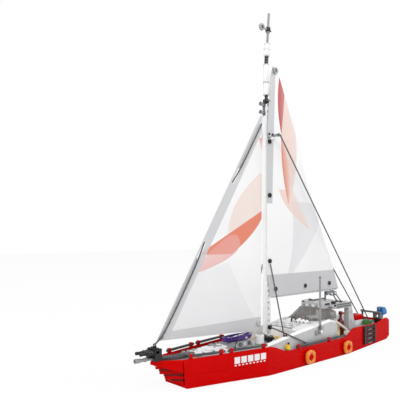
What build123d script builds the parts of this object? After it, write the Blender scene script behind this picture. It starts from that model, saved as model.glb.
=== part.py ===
"""Display model of an ocean racing yacht, built from studded interlocking pieces.

Frame: +X towards the bow, +Y to port, +Z up, in millimetres. The origin is on the
flat bottom, half way along the hull, on the centre plane. Heights in this script are
measured from the top of the lowest plate, and `keep` raises each piece by that plate.
"""

import os
from math import atan2, cos, degrees, hypot, radians, sin, tan

from build123d import *

os.makedirs("parts", exist_ok=True)

# The grid that every piece is made to.
PITCH = 8.0  # stud to stud
PLATE = 3.2  # height of one plate
BRICK = 3 * PLATE
STUD_RADIUS = 2.4
STUD_HEIGHT = 1.7
BAR_RADIUS = 1.59
PIN_RADIUS = 2.4
PIN_HEAD_RADIUS = 3.0
BEAM_WIDTH = 7.8  # a beam is a little narrower than the pitch

# Clearances.
SEAM = 0.1  # between neighbours that don't move
RUN = 0.05  # radial, in a turning fit
CLEAR = 0.4  # between pieces that pass each other

# Hull.
STEM_X = 218.0
SHOULDER_X = 187.0
STERN_X = -220.0
HALF_BEAM = 40.0
SHOULDER_HALF = 19.0
WAIST_X = 125.0
WAIST_HALF = 31.0
PARALLEL_X = 71.0  # the sides are parallel aft of here
SIDE_WALL = 2.4
STRAKE_TOP = 13.4
DECK_LOW = 6 * PLATE
DECK_HIGH = 9 * PLATE
RIM_HIGH = 32.0
RIM_LOW = 21.4
RIM_STERN = 37.0
BOTTOM_END_X = -184.0  # where the lower plate of the bottom ends
FOREFOOT_X = 182.6  # where the bottom starts
FOREFOOT_RAKE = 0.144  # how far the shoulder edge leans forward for each mm up
BOARD_X = (129.0, 70.4)  # the panel that carries the blank tiles
HULL_PLAN = [
    (SHOULDER_X, SHOULDER_HALF),
    (WAIST_X, WAIST_HALF),
    (PARALLEL_X, HALF_BEAM),
    (STERN_X, HALF_BEAM),
]
BOTTOM_LINE = [  # level amidships, rising a little forward and more towards the stern
    (FOREFOOT_X, -0.6),
    (128.0, -1.2),
    (60.0, -PLATE),
    (-105.0, -PLATE),
    (-212.0, 3.4),
    (STERN_X, 8.6),
]
FOREDECK_END_X = 44.0
WELL_END_X = 4.0  # the foredeck runs on between the coamings to here
AFT_DECK_X = -121.0

# Cabin and cockpit.
COAMING_INNER = 30.0
COAMING_OUTER = 34.0
COAMING_BEVEL = 2.8
COACHROOF_BACK_X = -44.0
CANOPY_HALF = 19.0
ROOF_Z = 63.4
ARCH_POST_X = (-146.0, -128.0)
ARCH_END_X = -133.5  # the top is shorter than the feet, so the posts lean forward
ARCH_TOP_Z = 68.4
ARCH_HALF = 25.0
POST_WIDTH = 8.0

# Rig.
MAST_X = 29.0
MAST_HOLES = 39  # in the mast beam, one pitch apart
MAST_SLEEVE_TOP = 400.0
MAST_TUBE_RADIUS = 4.0
TOPMAST_RAKE = 4.5  # degrees aft, above the black joint
TOPMAST_LENGTH = 71.0
SAIL_THICKNESS = 0.6
SAIL_Y = 4.6  # the inner face of the mainsail, clear of the mast and boom beams
BOOM_Z = 88.9
BOOM_END_X = -131.0
SPREADER_Z = 303.0
SPREADER_HALF = 17.5
SPREADER_X = 23.0
SPREADER_WIDTH = 4.0
STAY_RADIUS = 0.9

# Life rings, outboard, antenna.
RING_X = (-9.1, -97.1)
RING_Z = 7.8
RING_OUTER = 9.9
RING_HOLE = 4.05
ANTENNA_X = -41.0
ANTENNA_Z = 36.4
ANTENNA_LENGTH = 76.0
ANTENNA_PIN = 1.5
ANTENNA_EYE = 3.2  # width of the eye at its foot
OUTBOARD_Y = 17.0
OUTBOARD_PIVOT = (-225.0, 39.5)


def half_breadth(x):
    """Half the hull's width at a place along it."""
    for (x1, y1), (x2, y2) in zip(HULL_PLAN, HULL_PLAN[1:]):
        if x >= x2:
            return y1 + (y2 - y1) * (x1 - x) / (x1 - x2)
    return HALF_BEAM


def inner_half(x):
    """Half the space between the two hull sides."""
    return half_breadth(x) - SIDE_WALL - SEAM


def stations(front, back):
    """The places between two ends where the hull's plan changes direction."""
    return [front] + [x for x, _ in HULL_PLAN if back < x < front] + [back]


def both_sides(line):
    """A closed outline from the port half of it."""
    return line + [(x, -y) for x, y in reversed(line)]


def keep(builder, name):
    """Raise a finished piece to its height above the bottom, label it and write it."""
    raised = Pos(0, 0, PLATE) * builder.part
    raised.label = name
    export_step(raised, f"parts/{name}.step")


def flat_plate(outline, low, high):
    """A plate with a plan outline between two heights."""
    with BuildPart() as plate:
        with BuildSketch(Plane.XY.offset(low)):
            Polygon(*outline, align=None)
        extrude(amount=high - low)
    return plate.part


def side_slab(outline, inner, outer):
    """A slab with a side outline of (x, z) between two places across the boat."""
    with BuildPart() as slab:
        with BuildSketch(Plane.XZ.offset(-outer)):
            Polygon(*outline, align=None)
        extrude(amount=outer - inner)
    return slab.part


def deck_plate(front, back, low, high):
    """A plate that fills the hull between its sides."""
    line = [(x, inner_half(x)) for x in stations(front, back)]
    return flat_plate(both_sides(line), low, high)


def side_strip(front, back, low, high):
    """A stretch of the port hull side, as thick as its wall."""
    xs = stations(front, back)
    outer = [(x, half_breadth(x)) for x in xs]
    inner = [(x, half_breadth(x) - SIDE_WALL) for x in reversed(xs)]
    return flat_plate(outer + inner, low, high)


def studs(columns, rows, x, y, z):
    """A field of studs centred on a place."""
    with BuildPart() as field:
        with Locations((x, y, z)):
            with GridLocations(PITCH, PITCH, columns, rows):
                Cylinder(STUD_RADIUS, STUD_HEIGHT, align=(Align.CENTER, Align.CENTER, Align.MIN))
    return field.part


def rod(start, end, radius, tip_radius=None):
    """A straight round bar, or a cone, from one point to another."""
    line = Vector(*end) - Vector(*start)
    plane = Plane(origin=start, z_dir=line)
    with BuildPart() as bar:
        with BuildSketch(plane):
            Circle(radius)
        if tip_radius is None:
            extrude(amount=line.length)
        else:
            with BuildSketch(plane.offset(line.length)):
                Circle(tip_radius)
            loft()
    return bar.part


def mirrored(piece):
    """The same piece on the other side of the boat."""
    return mirror(piece, about=Plane.XZ)


# ---------------------------------------------------------------- hull


def above_bottom(top):
    """Everything between the bottom's line and a level, across the whole hull."""
    return side_slab(BOTTOM_LINE + [(STERN_X, top), (FOREFOOT_X, top)], -HALF_BEAM - 5, HALF_BEAM + 5)


with BuildPart() as bottom_plate:
    low, high = -PLATE, PLATE
    add(deck_plate(FOREFOOT_X - 0.4, BOTTOM_END_X, low, high) & above_bottom(2 * PLATE))
    add(deck_plate(BOTTOM_END_X, -212.0, low, 2 * PLATE) & above_bottom(3 * PLATE))
keep(bottom_plate, "bottom_plate")

with BuildPart() as keel_spine:
    add(side_slab([(168, PLATE), (168, PLATE + 7.8), (-180, PLATE + 7.8), (-180, PLATE)], -3.9, 3.9))
    with Locations(Plane.XZ.offset(-4.0)):
        with Locations((-16, PLATE + 3.9)):
            with GridLocations(2 * PITCH, 1, 22, 1):
                Cylinder(PIN_RADIUS, 20, mode=Mode.SUBTRACT)
keep(keel_spine, "keel_spine")

FRAME_XS = (150, 110, 70, 24, -30, -80, -132, -156, -176)
with BuildPart() as hull_frames:
    for x in FRAME_XS:
        top = DECK_LOW - PLATE if AFT_DECK_X < x < FOREDECK_END_X else DECK_HIGH - PLATE
        inner = 4.0
        outer = inner_half(x + 4) - SEAM
        for side in (1, -1):
            with Locations((x, side * (inner + outer) / 2, PLATE)):
                Box(
                    BEAM_WIDTH,
                    outer - inner,
                    top - PLATE,
                    align=(Align.CENTER, Align.CENTER, Align.MIN),
                )
keep(hull_frames, "hull_frames")


def lower_strakes():
    """The three lower hull side pieces on the port side."""
    cuts = [FOREFOOT_X + 3, BOARD_X[0], BOARD_X[1], STERN_X]
    nose = (FOREFOOT_X + FOREFOOT_RAKE * STRAKE_TOP, STRAKE_TOP)
    outline = side_slab(BOTTOM_LINE + [(STERN_X, STRAKE_TOP), nose], 0, HALF_BEAM + 5)
    with BuildPart() as strakes:
        for front, back in zip(cuts, cuts[1:]):
            add(side_strip(front - SEAM, back, -PLATE, STRAKE_TOP) & outline)
    return strakes


port_strakes = lower_strakes()
keep(port_strakes, "side_lower_port")
with BuildPart() as starboard_strakes:
    add(mirrored(port_strakes.part))
keep(starboard_strakes, "side_lower_starboard")


def sheer_profile():
    """The side outline of the upper panels, with the dip amidships."""
    low = STRAKE_TOP + SEAM
    with BuildPart() as profile:
        with BuildSketch(Plane.XZ.offset(-HALF_BEAM - 5)):
            with BuildLine():
                nose_low = (FOREFOOT_X + FOREFOOT_RAKE * low, low)
                nose_top = (FOREFOOT_X + FOREFOOT_RAKE * RIM_HIGH, RIM_HIGH)
                Polyline((STERN_X, low), nose_low, nose_top, (PARALLEL_X, RIM_HIGH))
                Bezier((PARALLEL_X, RIM_HIGH), (52, RIM_HIGH), (46, RIM_LOW), (26, RIM_LOW))
                Line((26, RIM_LOW), (-94, RIM_LOW))
                Bezier((-94, RIM_LOW), (-107, RIM_LOW), (-110, RIM_HIGH), (-124, RIM_HIGH))
                Polyline(
                    (-124, RIM_HIGH),
                    (-186, RIM_HIGH),
                    (-210, RIM_STERN),
                    (-214, RIM_STERN),
                    (STERN_X, RIM_STERN - 4),
                    (STERN_X, low),
                )
            make_face()
        extrude(amount=HALF_BEAM + 5)
    return profile.part


def upper_panels():
    """The three upper hull side panels on the port side, with seats for the blank tiles."""
    cuts = [SHOULDER_X + 1, BOARD_X[0], BOARD_X[1], STERN_X]
    outline = sheer_profile()
    with BuildPart() as panels:
        for front, back in zip(cuts, cuts[1:]):
            add(side_strip(front - SEAM, back, STRAKE_TOP + SEAM, RIM_STERN) & outline)
    return panels


port_panels = upper_panels()
keep(port_panels, "side_upper_port")
with BuildPart() as starboard_panels:
    add(mirrored(port_panels.part))
keep(starboard_panels, "side_upper_starboard")

with BuildPart() as transom:
    half = HALF_BEAM - SIDE_WALL - SEAM
    edge = [(half - 3, 8), (half, 11), (half, 30), (half - 3, 33)]
    with BuildSketch(Plane.YZ.offset(STERN_X)):
        Polygon(*edge, *[(-y, z) for y, z in reversed(edge)], align=None)
    extrude(amount=SIDE_WALL)
keep(transom, "transom")

# The stem is a stack of pointed plates that step forward as they rise.
STEM_TIPS = (187.0, 193.0, 198.0, 201.5, 205.0, 208.0, 210.5)
SLAT_HALF = 15.0
CHEEK = 2.4
CHEEK_LOW = 17.4
CHEEK_TIP_LOW = 28.7


def bow_cheek():
    """The port cheek of the bow, from the shoulder to the stem."""
    run, rise = STEM_X - SHOULDER_X - 0.4, SHOULDER_HALF
    length = hypot(run, rise)
    back = SHOULDER_X + 0.4
    strip = [
        (back, SHOULDER_HALF),
        (STEM_X, SEAM / 2),
        (STEM_X - CHEEK * length / rise, SEAM / 2),
        (back, SHOULDER_HALF - CHEEK * length / run),
    ]
    profile = [
        (back, CHEEK_LOW),
        (back, RIM_HIGH),
        (STEM_X, RIM_HIGH),
        (STEM_X, CHEEK_TIP_LOW),
    ]
    return flat_plate(strip, CHEEK_LOW, RIM_HIGH) & side_slab(profile, 0, HALF_BEAM)


with BuildPart() as stem_stack:
    for layer, tip in enumerate(STEM_TIPS):
        low = PLATE * (layer + 1)
        setback = 2.2 * (layer % 2)
        half = SLAT_HALF - 0.5 * setback
        line = [(171, half), (FOREFOOT_X + 1, half), (tip - setback, 1.0)]
        add(flat_plate(both_sides(line), low, low + PLATE))
    cheek = bow_cheek()
    add(cheek)
    add(mirrored(cheek))
keep(stem_stack, "stem_stack")

with BuildPart() as foredeck:
    port_line = [(SHOULDER_X + 25, 0.9), (SHOULDER_X, SLAT_HALF)]
    port_line += [(x, inner_half(x)) for x in stations(FOREFOOT_X, FOREDECK_END_X)]
    port_line += [
        (FOREDECK_END_X, COAMING_INNER - SEAM),
        (WELL_END_X, COAMING_INNER - SEAM),
    ]
    add(flat_plate(both_sides(port_line), DECK_HIGH - PLATE, DECK_HIGH))
    for side in (1, -1):
        add(studs(5, 1, 140, side * 20, DECK_HIGH))
        add(studs(4, 1, 91, side * 28, DECK_HIGH))
        add(studs(4, 1, 91, side * 20, DECK_HIGH))
        add(studs(3, 2, 18, side * 20, DECK_HIGH))
keep(foredeck, "foredeck")

with BuildPart() as mid_deck:
    add(deck_plate(FOREDECK_END_X - SEAM, AFT_DECK_X + SEAM, DECK_LOW - PLATE, DECK_LOW))
    half = HALF_BEAM - SIDE_WALL - 2 * SEAM
    for x in (FOREDECK_END_X + SEAM, AFT_DECK_X - SEAM - SIDE_WALL):
        riser = [(x, half), (x + SIDE_WALL, half), (x + SIDE_WALL, -half), (x, -half)]
        add(flat_plate(riser, DECK_LOW - PLATE, DECK_HIGH - PLATE - SEAM))
keep(mid_deck, "mid_deck")

STUD_FIELD_X = -192.0
with BuildPart() as aft_deck:
    add(deck_plate(AFT_DECK_X - SEAM, STERN_X + SIDE_WALL + SEAM, DECK_HIGH - PLATE, DECK_HIGH))
    add(studs(2, 2, STUD_FIELD_X, 0, DECK_HIGH))
    for side in (1, -1):
        add(studs(3, 1, -140, side * 32, DECK_HIGH))
keep(aft_deck, "aft_deck")

TILE = 7.6
TILE_PITCH = 9.6
TILE_ROW = (97.8, 22.5)  # the middle tile's place along the hull and its height
TILE_THICK = 0.8
with BuildPart() as name_tiles:
    rise = half_breadth(BOARD_X[1]) - half_breadth(BOARD_X[0])
    lean = degrees(atan2(-rise, BOARD_X[0] - BOARD_X[1]))
    for side in (1, -1):
        for index in range(5):
            x = TILE_ROW[0] + (index - 2) * TILE_PITCH
            place = Location((x, side * (half_breadth(x) + SEAM), TILE_ROW[1]), (0, 0, side * lean))
            with Locations(place):
                Box(
                    TILE,
                    TILE_THICK,
                    TILE,
                    align=(Align.CENTER, Align.MIN if side > 0 else Align.MAX, Align.CENTER),
                )
keep(name_tiles, "name_tiles")

# Rails: bars held by clips on the rim. Each is its two ends along the hull, the rim's height
# and how far its two clips are from the front end.
CLIP_LENGTH = 3.6
CLIP_WIDTH = 4.0
BAR_LIFT = 2.8
RAILS = (
    (181, 133, RIM_HIGH, (4, 44)),
    (128, 72, RIM_HIGH, (4, 52)),
    (14, -97, RIM_LOW, (4, 71)),
)


def rail_ends(front, back, rim):
    """The two ends of a port rail's centre line."""
    inset = SIDE_WALL / 2
    return [Vector(x, half_breadth(x) - inset, rim + BAR_LIFT) for x in (front, back)]


with BuildPart() as rail_bars:
    for *rail, _ in RAILS:
        front, back = rail_ends(*rail)
        bar = rod(front, back, BAR_RADIUS)
        add(bar)
        add(mirrored(bar))
keep(rail_bars, "rail_bars")


def rail_clip(place, heading):
    """A clip on the rim, bored for its bar."""
    with BuildPart() as clip:
        with Locations(Location(place, (0, 0, heading))):
            with Locations((0, 0, -BAR_LIFT + 0.05)):
                Box(
                    CLIP_LENGTH,
                    CLIP_WIDTH,
                    BAR_LIFT + 2.4,
                    align=(Align.CENTER, Align.CENTER, Align.MIN),
                )
            Cylinder(BAR_RADIUS + RUN, 10, rotation=(0, 90, 0), mode=Mode.SUBTRACT)
    return clip.part


with BuildPart() as rail_clips:
    for *rail, clips in RAILS:
        front, back = rail_ends(*rail)
        heading = degrees(atan2(front.Y - back.Y, front.X - back.X))
        along = (back - front).normalized()
        for distance in clips:
            clip = rail_clip(tuple(front + along * distance), heading)
            add(clip)
            add(mirrored(clip))
keep(rail_clips, "rail_clips")

LADDER_X = (-177.0, -142.0)
LADDER_LOW = 4.0
with BuildPart() as ladder:
    with BuildSketch(Plane.XZ.offset(-HALF_BEAM - SEAM - 2.4)):
        with Locations(((LADDER_X[0] + LADDER_X[1]) / 2, (LADDER_LOW + 31.5) / 2)):
            Rectangle(LADDER_X[1] - LADDER_X[0], 31.5 - LADDER_LOW)
            with GridLocations(1, BRICK - 0.4, 1, 3):
                Rectangle(LADDER_X[1] - LADDER_X[0] - 2 * BRICK + 4, 6.6, mode=Mode.SUBTRACT)
    extrude(amount=2.4)
keep(ladder, "ladder")


def ring_axis(x, side):
    """The plane across a life ring's pin, facing outboard."""
    return Plane(origin=(x, side * (HALF_BEAM + SEAM), RING_Z), z_dir=(0, side, 0))


RING_TUBE = (RING_OUTER - RING_HOLE) / 2
with BuildPart() as ring_pins:
    for x in RING_X:
        for side in (1, -1):
            with BuildSketch(ring_axis(x, side)):
                Circle(RING_HOLE - RUN)
            extrude(amount=2 * RING_TUBE - 0.8)
keep(ring_pins, "ring_pins")

for x, station in zip(RING_X, ("fore", "aft")):
    for side, name in ((1, "port"), (-1, "starboard")):
        with BuildPart() as life_ring:
            with Locations(ring_axis(x, side).offset(RING_TUBE + CLEAR)):
                Torus(RING_HOLE + RING_TUBE, RING_TUBE)
        keep(life_ring, f"life_ring_{station}_{name}")

# ---------------------------------------------------------------- deck gear

STEMHEAD_X = (207.5, 217.0)
with BuildPart() as stemhead:
    with Locations(((STEMHEAD_X[0] + STEMHEAD_X[1]) / 2, 0, RIM_HIGH + SEAM)):
        Box(9.5, 15.0, 14.0, align=(Align.CENTER, Align.CENTER, Align.MIN))
    with Locations((STEMHEAD_X[0] + 4, 0, RIM_HIGH + 14 + SEAM)):
        Cylinder(BAR_RADIUS, 2, align=(Align.CENTER, Align.CENTER, Align.MIN))
    for side in (1, -1):
        add(rod((STEMHEAD_X[1], side * 4, 41.8), (234.0, side * 4, 42.4), 3.0, 1.6))
    add(rod((STEMHEAD_X[1], 0, 34.8), (238.0, 0, 35.4), 1.8, 2.6))
keep(stemhead, "stemhead")

HOSE_RADIUS = 3.0
with BuildPart() as anchor_hose:
    z = DECK_HIGH + HOSE_RADIUS + SEAM
    add(rod((205.0, 0, z + 0.6), (160.0, 4.0, z), HOSE_RADIUS))
keep(anchor_hose, "anchor_hose")

LANTERN_PLACE = (24.0, 35.8)
with BuildPart() as deck_gear:
    with BuildSketch(Plane.XY.offset(DECK_HIGH)):
        with Locations((130, 0)):
            RectangleRounded(46, 26, 6)
    extrude(amount=3.4)
    with BuildSketch(Plane.XY.offset(DECK_HIGH + 3.4)):
        with Locations((124, 0)):
            RectangleRounded(28, 18, 5)
    extrude(amount=3.0)
    with Locations((145, 0, DECK_HIGH + 3.4)):
        Cylinder(4.6, 3.4, align=(Align.CENTER, Align.CENTER, Align.MIN))
    add(rod((104.0, 15.0, DECK_HIGH + 0.5), (97.5, 15.0, 48.0), 1.0))
    add(rod((*LANTERN_PLACE, DECK_LOW), (*LANTERN_PLACE, DECK_LOW + 4.4), 1.6))
    add(rod((*LANTERN_PLACE, DECK_LOW + 4.4), (*LANTERN_PLACE, DECK_LOW + 6.4), 1.0))
keep(deck_gear, "deck_gear")

CRADLE_X = (64.0, 104.0)
CRADLE_TOP = 36.8
with BuildPart() as dinghy_cradle:
    cradle = [
        (CRADLE_X[0], DECK_HIGH),
        (CRADLE_X[1], DECK_HIGH),
        (CRADLE_X[1] - 4, CRADLE_TOP),
        (CRADLE_X[0] + 4, CRADLE_TOP),
    ]
    add(side_slab(cradle, -8, 8))
    with Locations(((CRADLE_X[0] + CRADLE_X[1]) / 2, 0, DECK_HIGH)):
        Box(20, 30, 5, mode=Mode.SUBTRACT)
keep(dinghy_cradle, "dinghy_cradle")


def boat_outline(front, back, half):
    """The plan of a small boat with a pointed bow and a rounded stern."""
    with BuildSketch() as outline:
        with BuildLine():
            Bezier((front, 0), (front - 14, half * 0.95), (front - 20, half), (front - 26, half))
            Line((front - 26, half), (back + 5, half))
            Bezier((back + 5, half), (back, half), (back, half * 0.6), (back, 0))
            mirror(about=Plane.XZ)
        make_face()
    return outline.sketch


DINGHY_X = (110.0, 61.0)
DINGHY_LOW = CRADLE_TOP + SEAM
with BuildPart() as dinghy:
    with BuildSketch(Plane.XY.offset(DINGHY_LOW)):
        add(boat_outline(DINGHY_X[0] - 7, DINGHY_X[1] + 1, 6.0))
    with BuildSketch(Plane.XY.offset(DINGHY_LOW + 6.4)):
        add(boat_outline(DINGHY_X[0], DINGHY_X[1], 8.0))
    loft()
    with BuildSketch(Plane.XY.offset(DINGHY_LOW + 1.6)):
        add(boat_outline(DINGHY_X[0] - 8, DINGHY_X[1] + 2.6, 6.0))
    extrude(amount=6, mode=Mode.SUBTRACT)
keep(dinghy, "dinghy")

with BuildPart() as canister:
    with Locations((55, 11, DECK_HIGH)):
        Cylinder(6.0, 12.6, align=(Align.CENTER, Align.CENTER, Align.MIN))
        with Locations((0, 0, 11.6)):
            Box(9.0, 1.2, 2.0, mode=Mode.SUBTRACT, align=(Align.CENTER, Align.CENTER, Align.MIN))
keep(canister, "canister")

WINCH_PLACE = (38.0, 14.0)
with BuildPart() as winch:
    with Locations((*WINCH_PLACE, DECK_HIGH + 0.2)):
        Cylinder(4.0, 5.0, align=(Align.CENTER, Align.CENTER, Align.MIN))
        with Locations((0, 0, 5.0)):
            Cylinder(3.2, 2.6, align=(Align.CENTER, Align.CENTER, Align.MIN))
            with PolarLocations(4.6, 8):
                Box(2.6, 1.8, 2.6, align=(Align.CENTER, Align.CENTER, Align.MIN))
keep(winch, "winch")

# ---------------------------------------------------------------- cabin

COAMING_SHAPE = [
    (73.0, 32.4),
    (39.0, 37.2),
    (-2.0, 42.4),
    (-69.0, 49.5),
    (-79.6, 46.8),
    (-84.6, 43.8),
    (-85.6, DECK_LOW),
    (FOREDECK_END_X - 1, DECK_LOW),
    (FOREDECK_END_X - 1, DECK_HIGH),
    (73.0, DECK_HIGH),
]


def coaming():
    """The port coaming: a long wedge, bevelled along its top, with four grooves."""
    with BuildPart() as wall:
        add(side_slab(COAMING_SHAPE, COAMING_INNER, COAMING_OUTER))
        outer = wall.edges().filter_by_position(Axis.Y, COAMING_OUTER - 0.01, COAMING_OUTER + 0.01)
        chamfer([edge for edge in outer if edge.center().Z > 33], COAMING_BEVEL)
        for x in (-57.0, -62.0, -69.5, -74.5):
            with Locations((x, COAMING_OUTER, 32)):
                Box(0.8, 0.8, 40, mode=Mode.SUBTRACT)
    return wall.part


port_coaming = coaming()
with BuildPart() as coaming_port:
    add(port_coaming)
    pin_start = (ANTENNA_X, COAMING_OUTER - 1, ANTENNA_Z)
    pin_end = (ANTENNA_X, COAMING_OUTER + ANTENNA_EYE + 2 * CLEAR, ANTENNA_Z)
    add(rod(pin_start, pin_end, ANTENNA_PIN))
    add(rod(pin_end, (ANTENNA_X, pin_end[1] + 1, ANTENNA_Z), ANTENNA_PIN + 0.8))
keep(coaming_port, "coaming_port")
with BuildPart() as coaming_starboard:
    add(mirrored(port_coaming))
keep(coaming_starboard, "coaming_starboard")

ROOF_EDGE = COAMING_INNER - SEAM
ROOF_WALL = 2.4
with BuildPart() as coachroof:
    wedge = [
        (WELL_END_X - SEAM, DECK_LOW),
        (WELL_END_X - SEAM, 42.0),
        (COACHROOF_BACK_X, 48.8),
        (COACHROOF_BACK_X, DECK_LOW),
    ]
    hollow = [
        (WELL_END_X - ROOF_WALL, DECK_LOW),
        (WELL_END_X - ROOF_WALL, 39.4),
        (COACHROOF_BACK_X - 1, 46.4),
        (COACHROOF_BACK_X - 1, DECK_LOW),
    ]
    add(side_slab(wedge, -ROOF_EDGE, ROOF_EDGE))
    add(side_slab(hollow, -ROOF_EDGE + ROOF_WALL, ROOF_EDGE - ROOF_WALL), mode=Mode.SUBTRACT)
    for side in (1, -1):
        inner, outer = CANOPY_HALF + CLEAR, ROOF_EDGE
        ledge = [
            (COACHROOF_BACK_X + 1, 44.0),
            (COACHROOF_BACK_X + 1, 47.2),
            (-72.0, 47.2),
            (-80.0, 43.0),
            (-80.0, 40.0),
        ]
        low, high = (inner, outer) if side > 0 else (-outer, -inner)
        add(side_slab(ledge, low, high))
keep(coachroof, "coachroof")

CANOPY_WALL = 1.6
CANOPY_SHAPE = [
    (-39.0, 49.4),
    (-66.0, ROOF_Z),
    (-88.0, ROOF_Z),
    (-104.0, 56.0),
    (-104.0, 46.0),
    (-80.0, 47.6),
    (-39.0, 47.6),
]
CANOPY_VOID = [
    (-42.0, 40.0),
    (-42.0, 49.1),
    (-66.4, ROOF_Z - CANOPY_WALL),
    (-87.6, ROOF_Z - CANOPY_WALL),
    (-105.0, 53.8),
    (-105.0, 40.0),
]
ROOF_FALL = (48.8 - 42.0) / (WELL_END_X - SEAM - COACHROOF_BACK_X)
CANOPY_SEAT = [
    (6.0, 42.4 - ROOF_FALL * (6.0 - WELL_END_X)),
    (COACHROOF_BACK_X - 0.3, 49.2),
    (COACHROOF_BACK_X - 0.3, DECK_LOW),
    (6.0, DECK_LOW),
]
with BuildPart() as windscreen:
    add(side_slab(CANOPY_SHAPE, -CANOPY_HALF, CANOPY_HALF))
    room = CANOPY_HALF - CANOPY_WALL
    add(side_slab(CANOPY_VOID, -room, room), mode=Mode.SUBTRACT)
    add(side_slab(CANOPY_SEAT, -COAMING_INNER, COAMING_INNER), mode=Mode.SUBTRACT)
keep(windscreen, "windscreen")

ROOF_ROLL = 2.9
with BuildPart() as cabin_roof:
    with Locations((-77.5, 0, ROOF_Z + SEAM)):
        Box(16, 38, 6.0, align=(Align.CENTER, Align.CENTER, Align.MIN))
    for x in (-75.3, -79.0, -82.7):
        add(rod((x, -20.5, ROOF_Z + 5.6), (x, 20.5, ROOF_Z + 5.6), ROOF_ROLL))
keep(cabin_roof, "cabin_roof")

REST_X = -103.3  # the post under the boom
with BuildPart() as arch:
    for side in (1, -1):
        post = [
            (ARCH_POST_X[0], DECK_HIGH),
            (ARCH_POST_X[1], DECK_HIGH),
            (ARCH_POST_X[1], ARCH_TOP_Z - 1),
            (ARCH_END_X - 1, ARCH_TOP_Z - 1),
        ]
        inner, outer = ARCH_HALF - POST_WIDTH, ARCH_HALF
        low, high = (inner, outer) if side > 0 else (-outer, -inner)
        add(side_slab(post, low, high))
    top = [
        (-86.0, 64.6),
        (-86.0, 67.4),
        (-98.0, ARCH_TOP_Z),
        (ARCH_END_X, ARCH_TOP_Z),
        (ARCH_END_X - 4, ARCH_TOP_Z - 8),
        (-97.0, ARCH_TOP_Z - 8),
    ]
    add(side_slab(top, -ARCH_HALF, ARCH_HALF))
    for side in (1, -1):
        for z in (ARCH_TOP_Z - 1.7, ARCH_TOP_Z - 5.2):
            with Locations((-115.0, side * ARCH_HALF, z)):
                Box(37.0, 2.0, 1.8)
    add(rod((REST_X, 0, ARCH_TOP_Z - 1), (REST_X, 0, BOOM_Z - BEAM_WIDTH / 2 - CLEAR), 1.4))
    add(rod((REST_X, 0, 73.6), (-64.0, 0, 73.6), 1.1))
keep(arch, "arch")

with BuildPart() as helm_console:
    console = [(-42.0, DECK_LOW), (-42.0, 40.0), (-50.0, 44.0), (-54.0, 40.0), (-54.0, DECK_LOW)]
    add(side_slab(console, -12, 12))
keep(helm_console, "helm_console")

with BuildPart() as seats:
    for side in (1, -1):
        with Locations((-97.0, side * 16, DECK_LOW)):
            Box(22, 14, 9.6, align=(Align.CENTER, Align.CENTER, Align.MIN))
        with Locations((-105.0, side * 16, DECK_LOW + 9.6)):
            Box(4, 14, 9.6, align=(Align.CENTER, Align.CENTER, Align.MIN))
keep(seats, "seats")

with BuildPart() as gas_bottle:
    x, y = -113.8, 20.0
    with BuildSketch(Plane.XZ.offset(-y)):
        with BuildLine():
            Polyline((x, DECK_LOW), (x + 5.4, DECK_LOW), (x + 5.4, 38.0))
            Bezier((x + 5.4, 38.0), (x + 5.4, 43.0), (x + 1.8, 43.0), (x + 1.8, 47.0))
            Polyline(
                (x + 1.8, 47.0),
                (x + 1.8, 50.0),
                (x + 3.0, 50.0),
                (x + 3.0, 55.0),
                (x, 55.0),
                (x, DECK_LOW),
            )
        make_face()
    revolve(axis=Axis((x, y, 0), (0, 0, 1)))
keep(gas_bottle, "gas_bottle")

# ---------------------------------------------------------------- stern

with BuildPart() as pushpit:
    for y in (-2.0, 28.0):
        add(rod((-210.0, y, DECK_HIGH), (-210.0, y, 44.0), BAR_RADIUS))
    add(rod((-210.0, -5.0, 44.0), (-210.0, 31.0, 44.0), BAR_RADIUS))
keep(pushpit, "pushpit")

with BuildPart() as stern_boxes:
    with Locations((-166.0, 12, DECK_HIGH)):
        Box(20, 14, 7.6, align=(Align.CENTER, Align.CENTER, Align.MIN))
    with Locations((-166.0, 12, DECK_HIGH + 7.6)):
        Box(21, 15, 8.0, align=(Align.CENTER, Align.CENTER, Align.MIN))
    with Locations((-180.0, 24.0, DECK_HIGH)):
        Box(16, 9, 5.6, align=(Align.CENTER, Align.CENTER, Align.MIN))
    with Locations((-165.5, -24.0, DECK_HIGH)):
        Box(28, 14, 11.0, align=(Align.CENTER, Align.CENTER, Align.MIN))
keep(stern_boxes, "stern_boxes")

PIVOT_X, PIVOT_Z = OUTBOARD_PIVOT
with BuildPart() as outboard_bracket:
    with Locations((STERN_X - SEAM, OUTBOARD_Y, 24.0)):
        Box(2.4, 14.0, 16.0, align=(Align.MAX, Align.CENTER, Align.CENTER))
    ear = [
        (STERN_X - SEAM, PIVOT_Z - 12),
        (STERN_X - SEAM, PIVOT_Z + 2.8),
        (PIVOT_X - 2.8, PIVOT_Z + 2.8),
        (PIVOT_X - 2.8, PIVOT_Z - 12),
    ]
    for low in (OUTBOARD_Y - 6.0, OUTBOARD_Y + 3.2):
        add(side_slab(ear, low, low + 2.8))
    add(rod((PIVOT_X, OUTBOARD_Y - 5, PIVOT_Z), (PIVOT_X, OUTBOARD_Y + 5, PIVOT_Z), BAR_RADIUS))
keep(outboard_bracket, "outboard_bracket")

with BuildPart() as outboard:
    with Locations((PIVOT_X, OUTBOARD_Y, PIVOT_Z)):
        Cylinder(3.0, 5.6, rotation=(90, 0, 0))
        with Locations((-6, 0, 0)):
            Box(12, 5.6, 6)
        with Locations((-13, 0, 3.5)):
            Box(14, 12, 14)
        with Locations((-13, 0, -13)):
            Box(5, 5, 22)
        with Locations((-15, 0, -22)):
            Cylinder(3.0, 9.0, rotation=(0, 90, 0))
        Cylinder(BAR_RADIUS + RUN, 20, rotation=(90, 0, 0), mode=Mode.SUBTRACT)
keep(outboard, "outboard")

# ---------------------------------------------------------------- mast and boom

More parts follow.
